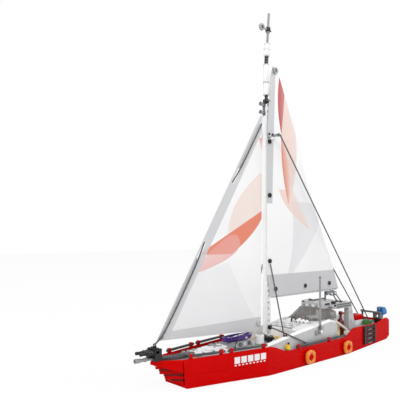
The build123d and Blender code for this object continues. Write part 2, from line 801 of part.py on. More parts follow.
MAST_FOOT_Z = DECK_HIGH + 6.0 + SEAM
MAST_FIRST_HOLE = MAST_FOOT_Z + BEAM_WIDTH / 2
MAST_BEAM_TOP = MAST_FOOT_Z + (MAST_HOLES - 1) * PITCH + BEAM_WIDTH
with BuildPart() as mast_beam:
    with BuildSketch(Plane.XZ.offset(-BEAM_WIDTH / 2)):
        with Locations((MAST_X, (MAST_FOOT_Z + MAST_BEAM_TOP) / 2)):
            SlotOverall(MAST_BEAM_TOP - MAST_FOOT_Z, BEAM_WIDTH, rotation=90)
            with GridLocations(1, PITCH, 1, MAST_HOLES):
                Circle(PIN_RADIUS, mode=Mode.SUBTRACT)
    extrude(amount=BEAM_WIDTH)
keep(mast_beam, "mast_beam")


def topmast_point(height):
    """A point on the raked topmast, above the black joint."""
    lean = radians(TOPMAST_RAKE)
    rise = height - MAST_SLEEVE_TOP
    return (MAST_X - rise * tan(lean), 0, height)


SLEEVE_HEIGHTS = ((358.0, 375.0), (375.0 + SEAM, MAST_SLEEVE_TOP))
TOP_SLEEVE = (411.0, 429.0)
with BuildPart() as mast_sleeves:
    for low, high in SLEEVE_HEIGHTS:
        add(rod((MAST_X, 0, low), (MAST_X, 0, high), MAST_TUBE_RADIUS))
    add(rod(topmast_point(TOP_SLEEVE[0]), topmast_point(TOP_SLEEVE[1]), MAST_TUBE_RADIUS))
keep(mast_sleeves, "mast_sleeves")

MAST_PIN_ZS = [MAST_FIRST_HOLE + hole * PITCH for hole in (1, 12, 23, 32)]


def sail_pin(x, z, head_gap):
    """A pin through a beam from port, with its round head outside the sail."""
    head = SAIL_Y + SAIL_THICKNESS + head_gap
    with BuildPart() as pin:
        add(rod((x, -BEAM_WIDTH / 2, z), (x, head, z), PIN_RADIUS - SEAM))
        add(rod((x, head, z), (x, head + 1.4, z), PIN_HEAD_RADIUS))
    return pin.part


with BuildPart() as mast_joints:
    with Locations((MAST_X, 0, DECK_HIGH)):
        Cylinder(8.0, 3.0, align=(Align.CENTER, Align.CENTER, Align.MIN))
        with Locations((0, 0, 3.0)):
            Cylinder(6.8, 3.0, align=(Align.CENTER, Align.CENTER, Align.MIN))
            with PolarLocations(7.4, 12):
                Box(2.4, 1.8, 3.0, align=(Align.CENTER, Align.CENTER, Align.MIN))
    for z in MAST_PIN_ZS:
        add(sail_pin(MAST_X, z, CLEAR))
    add(rod((MAST_X, 0, MAST_BEAM_TOP + SEAM), (MAST_X, 0, 352.0), 4.6))
    add(rod((MAST_X, 0, 352.0), (MAST_X, 0, 358.0 - SEAM), 2.1))
    add(rod((MAST_X, 0, MAST_SLEEVE_TOP + SEAM), (MAST_X, 0, 402.0), 2.6))
    add(rod(topmast_point(401.5), topmast_point(TOP_SLEEVE[0] - SEAM), 2.6))
keep(mast_joints, "mast_joints")

VANE_Z = 448.0
MASTHEAD_BAR_Z = 452.4  # where the bare bar starts, above the collar that keeps the vane on
TOP_Z = MAST_SLEEVE_TOP + TOPMAST_LENGTH
with BuildPart() as mast_rod:
    add(rod(topmast_point(TOP_SLEEVE[1] + SEAM), topmast_point(TOP_Z), BAR_RADIUS))
    add(rod(topmast_point(VANE_Z - 4.4), topmast_point(VANE_Z - 2.9), 2.6))
    add(rod(topmast_point(VANE_Z + 3), topmast_point(MASTHEAD_BAR_Z), 2.6))
keep(mast_rod, "mast_rod")

vane_plane = Plane(
    origin=topmast_point(VANE_Z),
    x_dir=(cos(radians(TOPMAST_RAKE)), 0, sin(radians(TOPMAST_RAKE))),
    z_dir=(-sin(radians(TOPMAST_RAKE)), 0, cos(radians(TOPMAST_RAKE))),
)
with BuildPart() as wind_vane:
    with Locations(vane_plane):
        Cylinder(3.6, 5.0)
        with Locations((7.0, 0, 0)):
            Box(10.0, 2.4, 2.4)
        with Locations((12.4, 0, 0)):
            Cylinder(4.6, 3.2, rotation=(90, 0, 0))
        with Locations((-4.5, 0, 0)):
            Box(4.0, 2.0, 2.0)
        Cylinder(BAR_RADIUS + RUN, 12, mode=Mode.SUBTRACT)
keep(wind_vane, "wind_vane")

with BuildPart() as mast_fittings:
    for z in (344.0, 333.0):
        front = MAST_X + BEAM_WIDTH / 2 + 1.0
        add(rod((front, 0, z), (front + 6.5, 0, z + 1.0), 1.4, 2.8))
    with Locations((MAST_X + BEAM_WIDTH / 2 + 0.6, 0, 337.5)):
        Box(1.0, 3.0, 17.0)
    with Locations((SPREADER_X, 0, SPREADER_Z)):
        Box(SPREADER_WIDTH, 2 * SPREADER_HALF, 3.2)
    with Locations((MAST_X, -BEAM_WIDTH / 2 - 1.6, SPREADER_Z)):
        Box(12.0, 3.0, 8.0)
keep(mast_fittings, "mast_fittings")

BOOM_FRONT_X = MAST_X - BEAM_WIDTH / 2 - CLEAR
BOOM_PIN_XS = (17.1, -47.3, -106.0)
PIN_RISE = 8.0  # sail pins above the boom's axis
with BuildPart() as boom:
    length = BOOM_FRONT_X - BOOM_END_X
    with BuildSketch(Plane.XZ.offset(-BEAM_WIDTH / 2)):
        with Locations((BOOM_FRONT_X - length / 2, BOOM_Z)):
            SlotOverall(length, BEAM_WIDTH)
            with GridLocations(PITCH, 1, 19, 1):
                Circle(PIN_RADIUS, mode=Mode.SUBTRACT)
    extrude(amount=BEAM_WIDTH)
    for x in BOOM_PIN_XS:
        with Locations((x, 0, BOOM_Z + BEAM_WIDTH / 2 - 1)):
            Box(7.0, BEAM_WIDTH, PIN_RISE + 1, align=(Align.CENTER, Align.CENTER, Align.MIN))
        with Locations((x, 0, BOOM_Z + PIN_RISE)):
            Cylinder(PIN_RADIUS, 20, rotation=(90, 0, 0), mode=Mode.SUBTRACT)
keep(boom, "boom")

with BuildPart() as boom_pins:
    for x in BOOM_PIN_XS:
        add(sail_pin(x, BOOM_Z + PIN_RISE, SEAM))
keep(boom_pins, "boom_pins")

# ---------------------------------------------------------------- sails and lines

MAIN_OUTLINE = [
    (27.0, 87.0),
    (-130.0, 87.6),
    (-116.7, 119.4),
    (-87.5, 175.3),
    (-51.0, 248.1),
    (-30.9, 303.9),
    (7.3, 385.2),
    (21.4, 398.4),
    (26.0, 385.0),
    (33.6, 297.0),
    (33.6, 118.0),
]
PIN_HOLE_ROOM = 0.9
with BuildPart() as mainsail:
    add(side_slab(MAIN_OUTLINE, SAIL_Y, SAIL_Y + SAIL_THICKNESS))
    holes = [(x, BOOM_Z + PIN_RISE) for x in BOOM_PIN_XS]
    holes += [(MAST_X, z) for z in MAST_PIN_ZS if z > BOOM_Z]
    with Locations(Plane.XZ.offset(-SAIL_Y)):
        with Locations(*holes):
            Cylinder(PIN_RADIUS + PIN_HOLE_ROOM, 4, mode=Mode.SUBTRACT)
    with Locations((MAST_X, SAIL_Y, SPREADER_Z)):
        notch = 2 * (MAST_X - SPREADER_X + SPREADER_WIDTH / 2 + PIN_HOLE_ROOM)
        Box(notch, 4, 3.2 + 4 * PIN_HOLE_ROOM, mode=Mode.SUBTRACT)
keep(mainsail, "mainsail")

JIB_OUTLINE = [(209.5, 53.0), (40.5, 44.0), (37.4, 328.0), (40.0, 330.0)]
STAY_ANGLE = -58.3  # how steep the forestay is, in degrees
STAY_CROSSINGS = ((144.5, 151.2), (86.3, 244.6))  # where the forestay goes through the jib
with BuildPart() as jib:
    add(side_slab(JIB_OUTLINE, -SAIL_THICKNESS / 2, SAIL_THICKNESS / 2))
    with BuildSketch(Plane.XZ.offset(-2)):
        with Locations(*STAY_CROSSINGS):
            SlotOverall(24, 4.8, rotation=STAY_ANGLE)
    extrude(amount=4, mode=Mode.SUBTRACT)
keep(jib, "jib")


def line_tube(points, radius):
    """A tube along straight runs joined by arcs, each as large as its two runs allow."""
    runs = [Vector(*b) - Vector(*a) for a, b in zip(points, points[1:])]
    radii = []
    for before, after in zip(runs, runs[1:]):
        shorter = min(before.length, after.length)
        turn = radians(before.get_angle(after))
        radii.append(0.45 * shorter / tan(turn / 2))
    print("arc radii in mm:", [round(radius, 1) for radius in radii])
    with BuildPart() as tube:
        with BuildLine() as route:
            if radii:
                FilletPolyline(*points, radius=radii)
            else:
                Line(*points)
        with BuildSketch(Plane(origin=points[0], z_dir=runs[0])):
            Circle(radius)
        sweep(path=route.wire())
    return tube


FORESTAY_ROUTE = [
    (212.4, 0.0, 49.4),
    (207.5, 1.0, 53.2),
    (200.0, 2.2, 61.5),
    (172.0, 2.2, 105.6),
    (150.5, 2.0, 141.5),
    (138.5, -2.0, 161.0),
    (112.0, -2.3, 203.0),
    (92.0, -2.0, 235.3),
    (80.5, 2.0, 254.0),
    (60.0, 2.3, 286.0),
    (40.5, 2.2, 317.4),
]
BACKSTAY_ROUTE = [(SPREADER_X - SPREADER_WIDTH / 2 - 1.3, 16.5, SPREADER_Z), (-212.6, 7.5, 30.4)]
SHROUD_ROUTE = [(MAST_X, 6.9, 130.6), (29.6, 30.6, 39.2)]
JIB_SHEET_ROUTE = [
    (MAST_X, 7.3, 46.8),
    (27.9, 19.5, 44.5),
    (26.2, 31.6, 41.4),
    (17.0, 35.8, 36.6),
    (3.5, 36.15, 30.7),
    (-12.3, 35.9, 24.2),
]

forestay = line_tube(FORESTAY_ROUTE, STAY_RADIUS)
keep(forestay, "forestay")
backstay_port = line_tube(BACKSTAY_ROUTE, STAY_RADIUS)
keep(backstay_port, "backstay_port")
with BuildPart() as backstay_starboard:
    add(mirrored(backstay_port.part))
keep(backstay_starboard, "backstay_starboard")
shroud_port = line_tube(SHROUD_ROUTE, STAY_RADIUS)
keep(shroud_port, "shroud_port")
with BuildPart() as shroud_starboard:
    add(mirrored(shroud_port.part))
keep(shroud_starboard, "shroud_starboard")
jib_sheet = line_tube(JIB_SHEET_ROUTE, STAY_RADIUS)
keep(jib_sheet, "jib_sheet")

SHEET_FALLS = (((-118.5, 10.5), -117.1), ((-118.5, 17.5), -125.0))  # foot (x, y) and top x
with BuildPart() as mainsheet:
    for foot, top in SHEET_FALLS:
        tie = (top, 0, BOOM_Z - BEAM_WIDTH / 2 - 3 * CLEAR)
        add(rod((*foot, ARCH_TOP_Z + 1.0), tie, STAY_RADIUS))
keep(mainsheet, "mainsheet")

with BuildPart() as antenna:
    eye_low = COAMING_OUTER + CLEAR
    add(rod((ANTENNA_X, eye_low, ANTENNA_Z), (ANTENNA_X, eye_low + ANTENNA_EYE, ANTENNA_Z), 3.2))
    middle = eye_low + ANTENNA_EYE / 2
    whip_foot = (ANTENNA_X, middle, ANTENNA_Z + 2)
    add(rod(whip_foot, (ANTENNA_X, middle, ANTENNA_Z + ANTENNA_LENGTH), BAR_RADIUS))
    with Locations((ANTENNA_X, middle, ANTENNA_Z)):
        Cylinder(ANTENNA_PIN + RUN, 10, rotation=(90, 0, 0), mode=Mode.SUBTRACT)
keep(antenna, "antenna")
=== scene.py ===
"""Studio scene of a studded-piece display model of an ocean racing yacht.

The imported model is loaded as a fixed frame. Each sub-assembly is a class that holds its
sizes in millimetres and builds its meshes around the frame, and each finish is a small
class that makes one node-based material.
"""

import logging
import math
from dataclasses import dataclass
from enum import Enum
from typing import Iterable, Optional, Sequence, Union

import bmesh
import bpy
from mathutils import Matrix, Vector


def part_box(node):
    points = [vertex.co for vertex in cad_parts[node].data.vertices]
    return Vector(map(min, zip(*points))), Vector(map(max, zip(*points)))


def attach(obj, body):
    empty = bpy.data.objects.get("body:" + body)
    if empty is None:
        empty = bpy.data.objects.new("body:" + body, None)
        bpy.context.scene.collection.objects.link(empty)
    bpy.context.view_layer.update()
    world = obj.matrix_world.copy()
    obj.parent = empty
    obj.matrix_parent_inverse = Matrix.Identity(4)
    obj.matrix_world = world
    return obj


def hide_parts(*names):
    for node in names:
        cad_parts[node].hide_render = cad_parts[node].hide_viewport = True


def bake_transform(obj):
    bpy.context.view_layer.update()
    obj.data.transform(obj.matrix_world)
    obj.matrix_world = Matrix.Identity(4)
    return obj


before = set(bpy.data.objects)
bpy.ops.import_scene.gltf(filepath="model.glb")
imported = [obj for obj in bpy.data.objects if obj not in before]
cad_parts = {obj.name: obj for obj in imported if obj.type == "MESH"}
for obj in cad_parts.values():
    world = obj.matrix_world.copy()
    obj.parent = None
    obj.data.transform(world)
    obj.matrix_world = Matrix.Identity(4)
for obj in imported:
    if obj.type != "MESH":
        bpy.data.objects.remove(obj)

LOG = logging.getLogger("yacht")
MM = 0.001
LIFT = 3.2  # heights are measured from the top of the lowest plate, this far above the bottom
RAISE = Matrix.Translation((0, 0, LIFT * MM)) @ Matrix.Scale(MM, 4)
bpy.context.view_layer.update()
Point = tuple[float, float, float]
Flat = tuple[float, float]
Number = Union[int, float]


class Body(Enum):
    """The rigid bodies that a piece can ride on."""

    HULL = "hull"
    BOOM = "boom"
    VANE = "wind_vane"
    ANTENNA = "antenna"
    OUTBOARD = "outboard"
    WINCH = "winch"


class Axis(Enum):
    """The direction that a prism is drawn out along."""

    X = 0
    Y = 1
    Z = 2


# ---------------------------------------------------------------- shader maths


@dataclass
class Wire:
    """A number that varies over a surface, written as Python arithmetic."""

    shader: "Shader"
    socket: bpy.types.NodeSocket

    def _sum(self, operation: str, *values: Union["Wire", Number]) -> "Wire":
        """Add a Math node.

        Args:
            operation: The Math node's operation.
            values: Its inputs, in order.

        Returns:
            The node's output.
        """
        node = self.shader.add("ShaderNodeMath", {"operation": operation}, dict(enumerate(values)))
        return Wire(self.shader, node.outputs[0])

    def __add__(self, other: Union["Wire", Number]) -> "Wire":
        """Sum."""
        return self._sum("ADD", self, other)

    def __radd__(self, other: Number) -> "Wire":
        """Sum with a number in front."""
        return self._sum("ADD", other, self)

    def __sub__(self, other: Union["Wire", Number]) -> "Wire":
        """Difference."""
        return self._sum("SUBTRACT", self, other)

    def __rsub__(self, other: Number) -> "Wire":
        """Difference from a number."""
        return self._sum("SUBTRACT", other, self)

    def __mul__(self, other: Union["Wire", Number]) -> "Wire":
        """Product."""
        return self._sum("MULTIPLY", self, other)

    def __rmul__(self, other: Number) -> "Wire":
        """Product with a number in front."""
        return self._sum("MULTIPLY", other, self)

    def __truediv__(self, other: Union["Wire", Number]) -> "Wire":
        """Quotient."""
        return self._sum("DIVIDE", self, other)

    def sine(self) -> "Wire":
        """Sine of an angle in radians."""
        return self._sum("SINE", self)

    def larger(self, other: Union["Wire", Number]) -> "Wire":
        """The larger of two."""
        return self._sum("MAXIMUM", self, other)

    def smaller(self, other: Union["Wire", Number]) -> "Wire":
        """The smaller of two."""
        return self._sum("MINIMUM", self, other)

    def step(self, start: Number, end: Number) -> "Wire":
        """A smooth step.

        Args:
            start: The value at which the step is 0.
            end: The value at which it is 1; it may be below start.

        Returns:
            A number from 0 to 1.
        """
        low, high, rising = (start, end, (0.0, 1.0)) if start < end else (end, start, (1.0, 0.0))
        node = self.shader.add(
            "ShaderNodeMapRange",
            {"interpolation_type": "SMOOTHSTEP"},
            {0: self, 1: low, 2: high, 3: rising[0], 4: rising[1]},
        )
        return Wire(self.shader, node.outputs[0])


class Shader:
    """A node tree for one material, with the object's own coordinates in millimetres."""

    def __init__(self, name: str) -> None:
        """Start an empty material.

        Args:
            name: The material's name.
        """
        self.material = bpy.data.materials.new(name)
        self.material.use_nodes = True
        self.tree = self.material.node_tree
        self.tree.nodes.clear()
        self.coordinates = self.add("ShaderNodeTexCoord", {}, {}).outputs["Object"]

    def add(self, kind: str, settings: dict, inputs: dict) -> bpy.types.Node:
        """Add a node.

        Args:
            kind: The node's type.
            settings: Its properties, set before its sockets.
            inputs: A value, a link or a Wire for each socket, by name or index.

        Returns:
            The node.
        """
        node = self.tree.nodes.new(kind)
        for key, value in settings.items():
            setattr(node, key, value)
        for key, value in inputs.items():
            link = value.socket if isinstance(value, Wire) else value
            if isinstance(link, bpy.types.NodeSocket):
                self.tree.links.new(link, node.inputs[key])
            else:
                node.inputs[key].default_value = link
        return node

    def axes(self) -> tuple[Wire, Wire, Wire]:
        """The place on the object along X, Y and Z, in millimetres, from the lowest plate's top."""
        node = self.add("ShaderNodeSeparateXYZ", {}, {0: self.coordinates})
        along, beam, up = (Wire(self, node.outputs[index]) * 1000.0 for index in range(3))
        return along, beam, up - LIFT

    def noise(self, size: float, detail: float = 2.0, stretch: Point = (1.0, 1.0, 1.0)) -> Wire:
        """Cloudy noise.

        Args:
            size: The width of its features in millimetres.
            detail: How many finer layers it has.
            stretch: How much the features shrink along each axis.

        Returns:
            A number around 0.5.
        """
        place = self.add("ShaderNodeMapping", {}, {0: self.coordinates, 3: stretch})
        node = self.add(
            "ShaderNodeTexNoise", {}, {"Vector": place.outputs[0], "Scale": 1000.0 / size, "Detail": detail}
        )
        return Wire(self, node.outputs[0])

    def blend(self, amount: Wire, first: object, second: object) -> bpy.types.NodeSocket:
        """Mix two colours.

        Args:
            amount: How much of the second there is, from 0 to 1.
            first: A colour or a colour socket.
            second: A colour or a colour socket.

        Returns:
            The mixed colour's socket.
        """
        node = self.add("ShaderNodeMix", {"data_type": "RGBA"}, {0: amount, 6: first, 7: second})
        return node.outputs[2]

    def bump(self, height: Wire, depth: float) -> bpy.types.NodeSocket:
        """Raise a surface.

        Args:
            height: The relief, from 0 to 1.
            depth: How far 1 stands out, in millimetres.

        Returns:
            The normal's socket.
        """
        node = self.add("ShaderNodeBump", {}, {"Height": height, "Distance": depth * MM, "Strength": 1.0})
        return node.outputs[0]

    def finish(self, constants: dict, varying: dict) -> bpy.types.Material:
        """Close the tree with a Principled shader.

        Args:
            constants: Values that are the same all over.
            varying: Links for what changes over the surface.

        Returns:
            The material.
        """
        surface = self.add("ShaderNodeBsdfPrincipled", {}, {**constants, **varying})
        self.add("ShaderNodeOutputMaterial", {}, {0: surface.outputs[0]})
        return self.material


def rgba(red: float, green: float, blue: float) -> tuple[float, float, float, float]:
    """A linear colour from one given as screen values from 0 to 255."""
    linear = [
        value / 255 / 12.92 if value <= 10 else ((value / 255 + 0.055) / 1.055) ** 2.4
        for value in (red, green, blue)
    ]
    return (*linear, 1.0)


def scaled(colour: Sequence[float], factor: float) -> tuple[float, float, float, float]:
    """A lighter or darker form of a colour."""
    return (*[min(1.0, value * factor) for value in colour[:3]], 1.0)


# ---------------------------------------------------------------- finishes


@dataclass(frozen=True)
class MouldedPlastic:
    """Glossy injection-moulded plastic, with faint flow marks and fine surface texture."""

    name: str
    colour: tuple[float, float, float, float]
    roughness: float = 0.2
    mottle: float = 0.05
    texture: float = 0.012
    shine: float = 0.4
    coat: float = 0.1

    def material(self) -> bpy.types.Material:
        """Make the material."""
        shader = Shader(self.name)
        flow = shader.noise(22.0, 3.0)
        grain = shader.noise(0.9, 2.0)
        scuffs = shader.noise(6.0, 4.0, (1.0, 1.0, 6.0))
        tint = (flow * 0.7 + grain * 0.3).step(0.25, 0.75)
        colour = shader.blend(
            tint, scaled(self.colour, 1 - self.mottle), scaled(self.colour, 1 + self.mottle)
        )
        gloss = self.roughness + scuffs.step(0.45, 0.8) * 0.1 + grain * 0.03
        relief = shader.bump(grain * 0.5 + flow * 0.5, self.texture)
        constants = {"Specular IOR Level": self.shine, "Coat Weight": self.coat, "Coat Roughness": 0.12}
        return shader.finish(constants, {"Base Color": colour, "Roughness": gloss.socket, "Normal": relief})


@dataclass(frozen=True)
class SpeckledPlastic:
    """Moulded plastic with a scatter of printed flecks in a second colour."""

    name: str
    colour: tuple[float, float, float, float]
    fleck: tuple[float, float, float, float]
    size: float = 3.0
    cover: float = 0.6

    def material(self) -> bpy.types.Material:
        """Make the material."""
        shader = Shader(self.name)
        patches = shader.noise(self.size, 3.0, (0.6, 1.0, 1.0))
        grain = shader.noise(0.7, 2.0)
        mask = (patches + (grain - 0.5) * 0.06).step(self.cover, self.cover + 0.02)
        colour = shader.blend(mask, self.colour, self.fleck)
        gloss = 0.22 + mask * 0.12 + grain * 0.05
        relief = shader.bump(grain, 0.015)
        constants = {"Specular IOR Level": 0.5, "Coat Weight": 0.15, "Coat Roughness": 0.15}
        return shader.finish(constants, {"Base Color": colour, "Roughness": gloss.socket, "Normal": relief})


@dataclass(frozen=True)
class SmokedPlastic:
    """Clear moulded plastic with a smoky tint, a little cloudier in random patches."""

    name: str
    colour: tuple[float, float, float, float]
    cover: float = 0.6

    def material(self) -> bpy.types.Material:
        """Make the material."""
        shader = Shader(self.name)
        cloud = shader.noise(14.0, 3.0)
        grain = shader.noise(1.2, 2.0)
        colour = shader.blend(cloud.step(0.3, 0.7), scaled(self.colour, 0.8), scaled(self.colour, 1.25))
        cover = self.cover + (cloud - 0.5) * 0.2
        gloss = 0.07 + grain * 0.06
        constants = {"Specular IOR Level": 0.55, "Coat Weight": 0.4, "Coat Roughness": 0.05}
        varying = {"Base Color": colour, "Roughness": gloss.socket, "Alpha": cover.socket}
        return shader.finish(constants, varying)


@dataclass(frozen=True)
class CordRubber:
    """A dark flexible cord with a fine woven twist."""

    name: str
    colour: tuple[float, float, float, float]
    pitch: float = 1.6

    def material(self) -> bpy.types.Material:
        """Make the material."""
        shader = Shader(self.name)
        across, beam, up = shader.axes()
        twist = ((across + beam * 1.7 + up) * (2 * math.pi / self.pitch)).sine() * 0.5 + 0.5
        grain = shader.noise(0.6, 3.0)
        colour = shader.blend(
            (twist * 0.6 + grain * 0.4).step(0.2, 0.8), scaled(self.colour, 0.75), scaled(self.colour, 1.3)
        )
        gloss = 0.5 + grain * 0.15
        relief = shader.bump(twist, 0.08)
        return shader.finish({}, {"Base Color": colour, "Roughness": gloss.socket, "Normal": relief})


@dataclass(frozen=True)
class Edge:
    """A curved edge on a sail: its place along the boat, from the height that it starts at."""

    at: float
    lean: float
    bow: float

    def place(self, rise: Wire) -> Wire:
        """The edge's place along the boat at a rise, in millimetres."""
        return rise * (rise * self.bow + self.lean) + self.at


@dataclass(frozen=True)
class Ribbon:
    """A soft coloured band on a sail, between a forward edge and an after edge."""

    forward: Edge
    after: Edge
    low: float
    high: float
    colour: tuple[float, float, float, float]
    strength: float
    fade: float

    def mask(self, along: Wire, up: Wire) -> Wire:
        """How much of the ribbon shows.

        Args:
            along: The place along the boat, in millimetres.
            up: The height, in millimetres.

        Returns:
            A number from 0 to 1.
        """
        rise = up - self.low
        ahead = self.forward.place(rise) - along
        behind = along - self.after.place(rise)
        inside = ahead.step(-0.4, 0.6) * behind.step(-0.4, 0.6)
        ends = up.step(self.low - 0.6, self.low + 0.6) * up.step(self.high + 0.6, self.high - 0.6)
        across = ahead / (ahead + behind).larger(4.0)
        shade = across * (self.fade - 1.0) + 1.0
        return inside * ends * (shade * self.strength).smaller(1.0)


@dataclass(frozen=True)
class SailFoil:
    """White printed foil with soft ribbons, fine wavy rules and a faint heat-set weave."""

    name: str
    ribbons: tuple[Ribbon, ...]
    rule_edge: Edge
    rule_low: float
    rule_high: float
    rule_pitch: float = 2.6
    white: tuple[float, float, float, float] = rgba(246, 246, 247)
    rule: tuple[float, float, float, float] = rgba(222, 222, 225)

    def material(self) -> bpy.types.Material:
        """Make the material."""
        shader = Shader(self.name)
        along, _, up = shader.axes()
        cloud = shader.noise(60.0, 2.0)
        grain = shader.noise(1.0, 2.0)
        colour = shader.blend(cloud.step(0.3, 0.7), scaled(self.white, 0.965), self.white)
        offset = along - self.rule_edge.place(up - self.rule_low)
        rules = (offset * (2 * math.pi / self.rule_pitch)).sine().step(0.1, 0.9)
        zone = up.step(self.rule_high, self.rule_high - 12) * up.step(self.rule_low - 1, self.rule_low)
        colour = shader.blend(rules * zone * offset.step(-0.5, 0.5) * 0.9, colour, self.rule)
        for ribbon in self.ribbons:
            colour = shader.blend(ribbon.mask(along, up), colour, ribbon.colour)
        weave = (along * 5.2).sine() * (up * 5.2).sine() * 0.5 + 0.5
        gloss = 0.34 + grain * 0.14
        relief = shader.bump(weave * 0.4 + cloud * 0.6, 0.05)
        constants = {"Specular IOR Level": 0.4, "Subsurface Weight": 0.0}
        return shader.finish(constants, {"Base Color": colour, "Roughness": gloss.socket, "Normal": relief})


class Finish(Enum):
    """The finishes of the model's pieces."""

    RED = MouldedPlastic("red_moulded", rgba(204, 0, 0), 0.2, 0.04, 0.008, 0.06, 0.0)
    DEEP_RED = MouldedPlastic("deep_red_moulded", rgba(122, 8, 10), 0.2, 0.05, 0.01, 0.2, 0.04)
    DARK_GREY = MouldedPlastic("dark_grey_moulded", rgba(98, 100, 104), 0.24)
    IRON = MouldedPlastic("iron_grey_moulded", rgba(66, 68, 72), 0.24)
    MID_GREY = MouldedPlastic("mid_grey_moulded", rgba(150, 152, 155), 0.24)
    LIGHT_GREY = MouldedPlastic("light_grey_moulded", rgba(196, 197, 199), 0.22)
    PALE = MouldedPlastic("pale_grey_moulded", rgba(224, 225, 227), 0.24, 0.02)
    WHITE = MouldedPlastic("white_moulded", rgba(240, 240, 240), 0.2, 0.02)
    BLACK = MouldedPlastic("black_moulded", rgba(26, 26, 28), 0.18, 0.12)
    TAN = MouldedPlastic("tan_moulded", rgba(226, 200, 168), 0.24)
    SAND = MouldedPlastic("sand_moulded", rgba(222, 214, 200), 0.26)
    CREAM = MouldedPlastic("cream_moulded", rgba(240, 226, 170), 0.26)
    ORANGE = MouldedPlastic("orange_moulded", rgba(236, 132, 34), 0.2)
    YELLOW = MouldedPlastic("yellow_moulded", rgba(240, 205, 50), 0.2)
    GREEN = MouldedPlastic("green_moulded", rgba(52, 128, 52), 0.22)
    OLIVE = MouldedPlastic("olive_moulded", rgba(160, 170, 120), 0.26)
    PEACH = MouldedPlastic("peach_moulded", rgba(246, 170, 96), 0.22)
    DEEP_BLUE = MouldedPlastic("deep_blue_moulded", rgba(14, 84, 150), 0.2)
    BLUE = MouldedPlastic("blue_moulded", rgba(24, 124, 196), 0.2)
    BROWN = MouldedPlastic("brown_moulded", rgba(104, 30, 28), 0.18)
    PURPLE = SpeckledPlastic("purple_flecked", rgba(66, 30, 128), rgba(225, 220, 240), 6.0, 0.62)
    STONE = SpeckledPlastic("stone_flecked", rgba(92, 90, 94), rgba(66, 62, 68), 4.0, 0.48)
    SMOKED = SmokedPlastic("smoked_clear", rgba(88, 82, 76), 0.72)
    CORD = CordRubber("stay_cord", rgba(62, 64, 68))

    def material(self) -> bpy.types.Material:
        """The finish's material, made once."""
        found = bpy.data.materials.get(self.value.name)
        return found or self.value.material()


# ---------------------------------------------------------------- shapes


def raised(place: Sequence[float]) -> Vector:
    """A place in the frame, in metres, from one in millimetres above the lowest plate."""
    return Vector((place[0], place[1], place[2] + LIFT)) * MM


def lowered(place: Sequence[float]) -> Vector:
    """A place in millimetres above the lowest plate, from one in the frame."""
    return Vector(place) / MM - Vector((0, 0, LIFT))


@dataclass(frozen=True)
class Extent:
    """A box in millimetres."""

    low: Vector
    high: Vector

    @classmethod
    def of(cls, node: str) -> "Extent":
        """The box of a frame node."""
        low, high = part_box(node)
        return cls(lowered(low), lowered(high))

    @property
    def middle(self) -> Vector:
        """The box's centre."""
        return (self.low + self.high) / 2

    @property
    def size(self) -> Vector:
        """The box's three sides."""
        return self.high - self.low


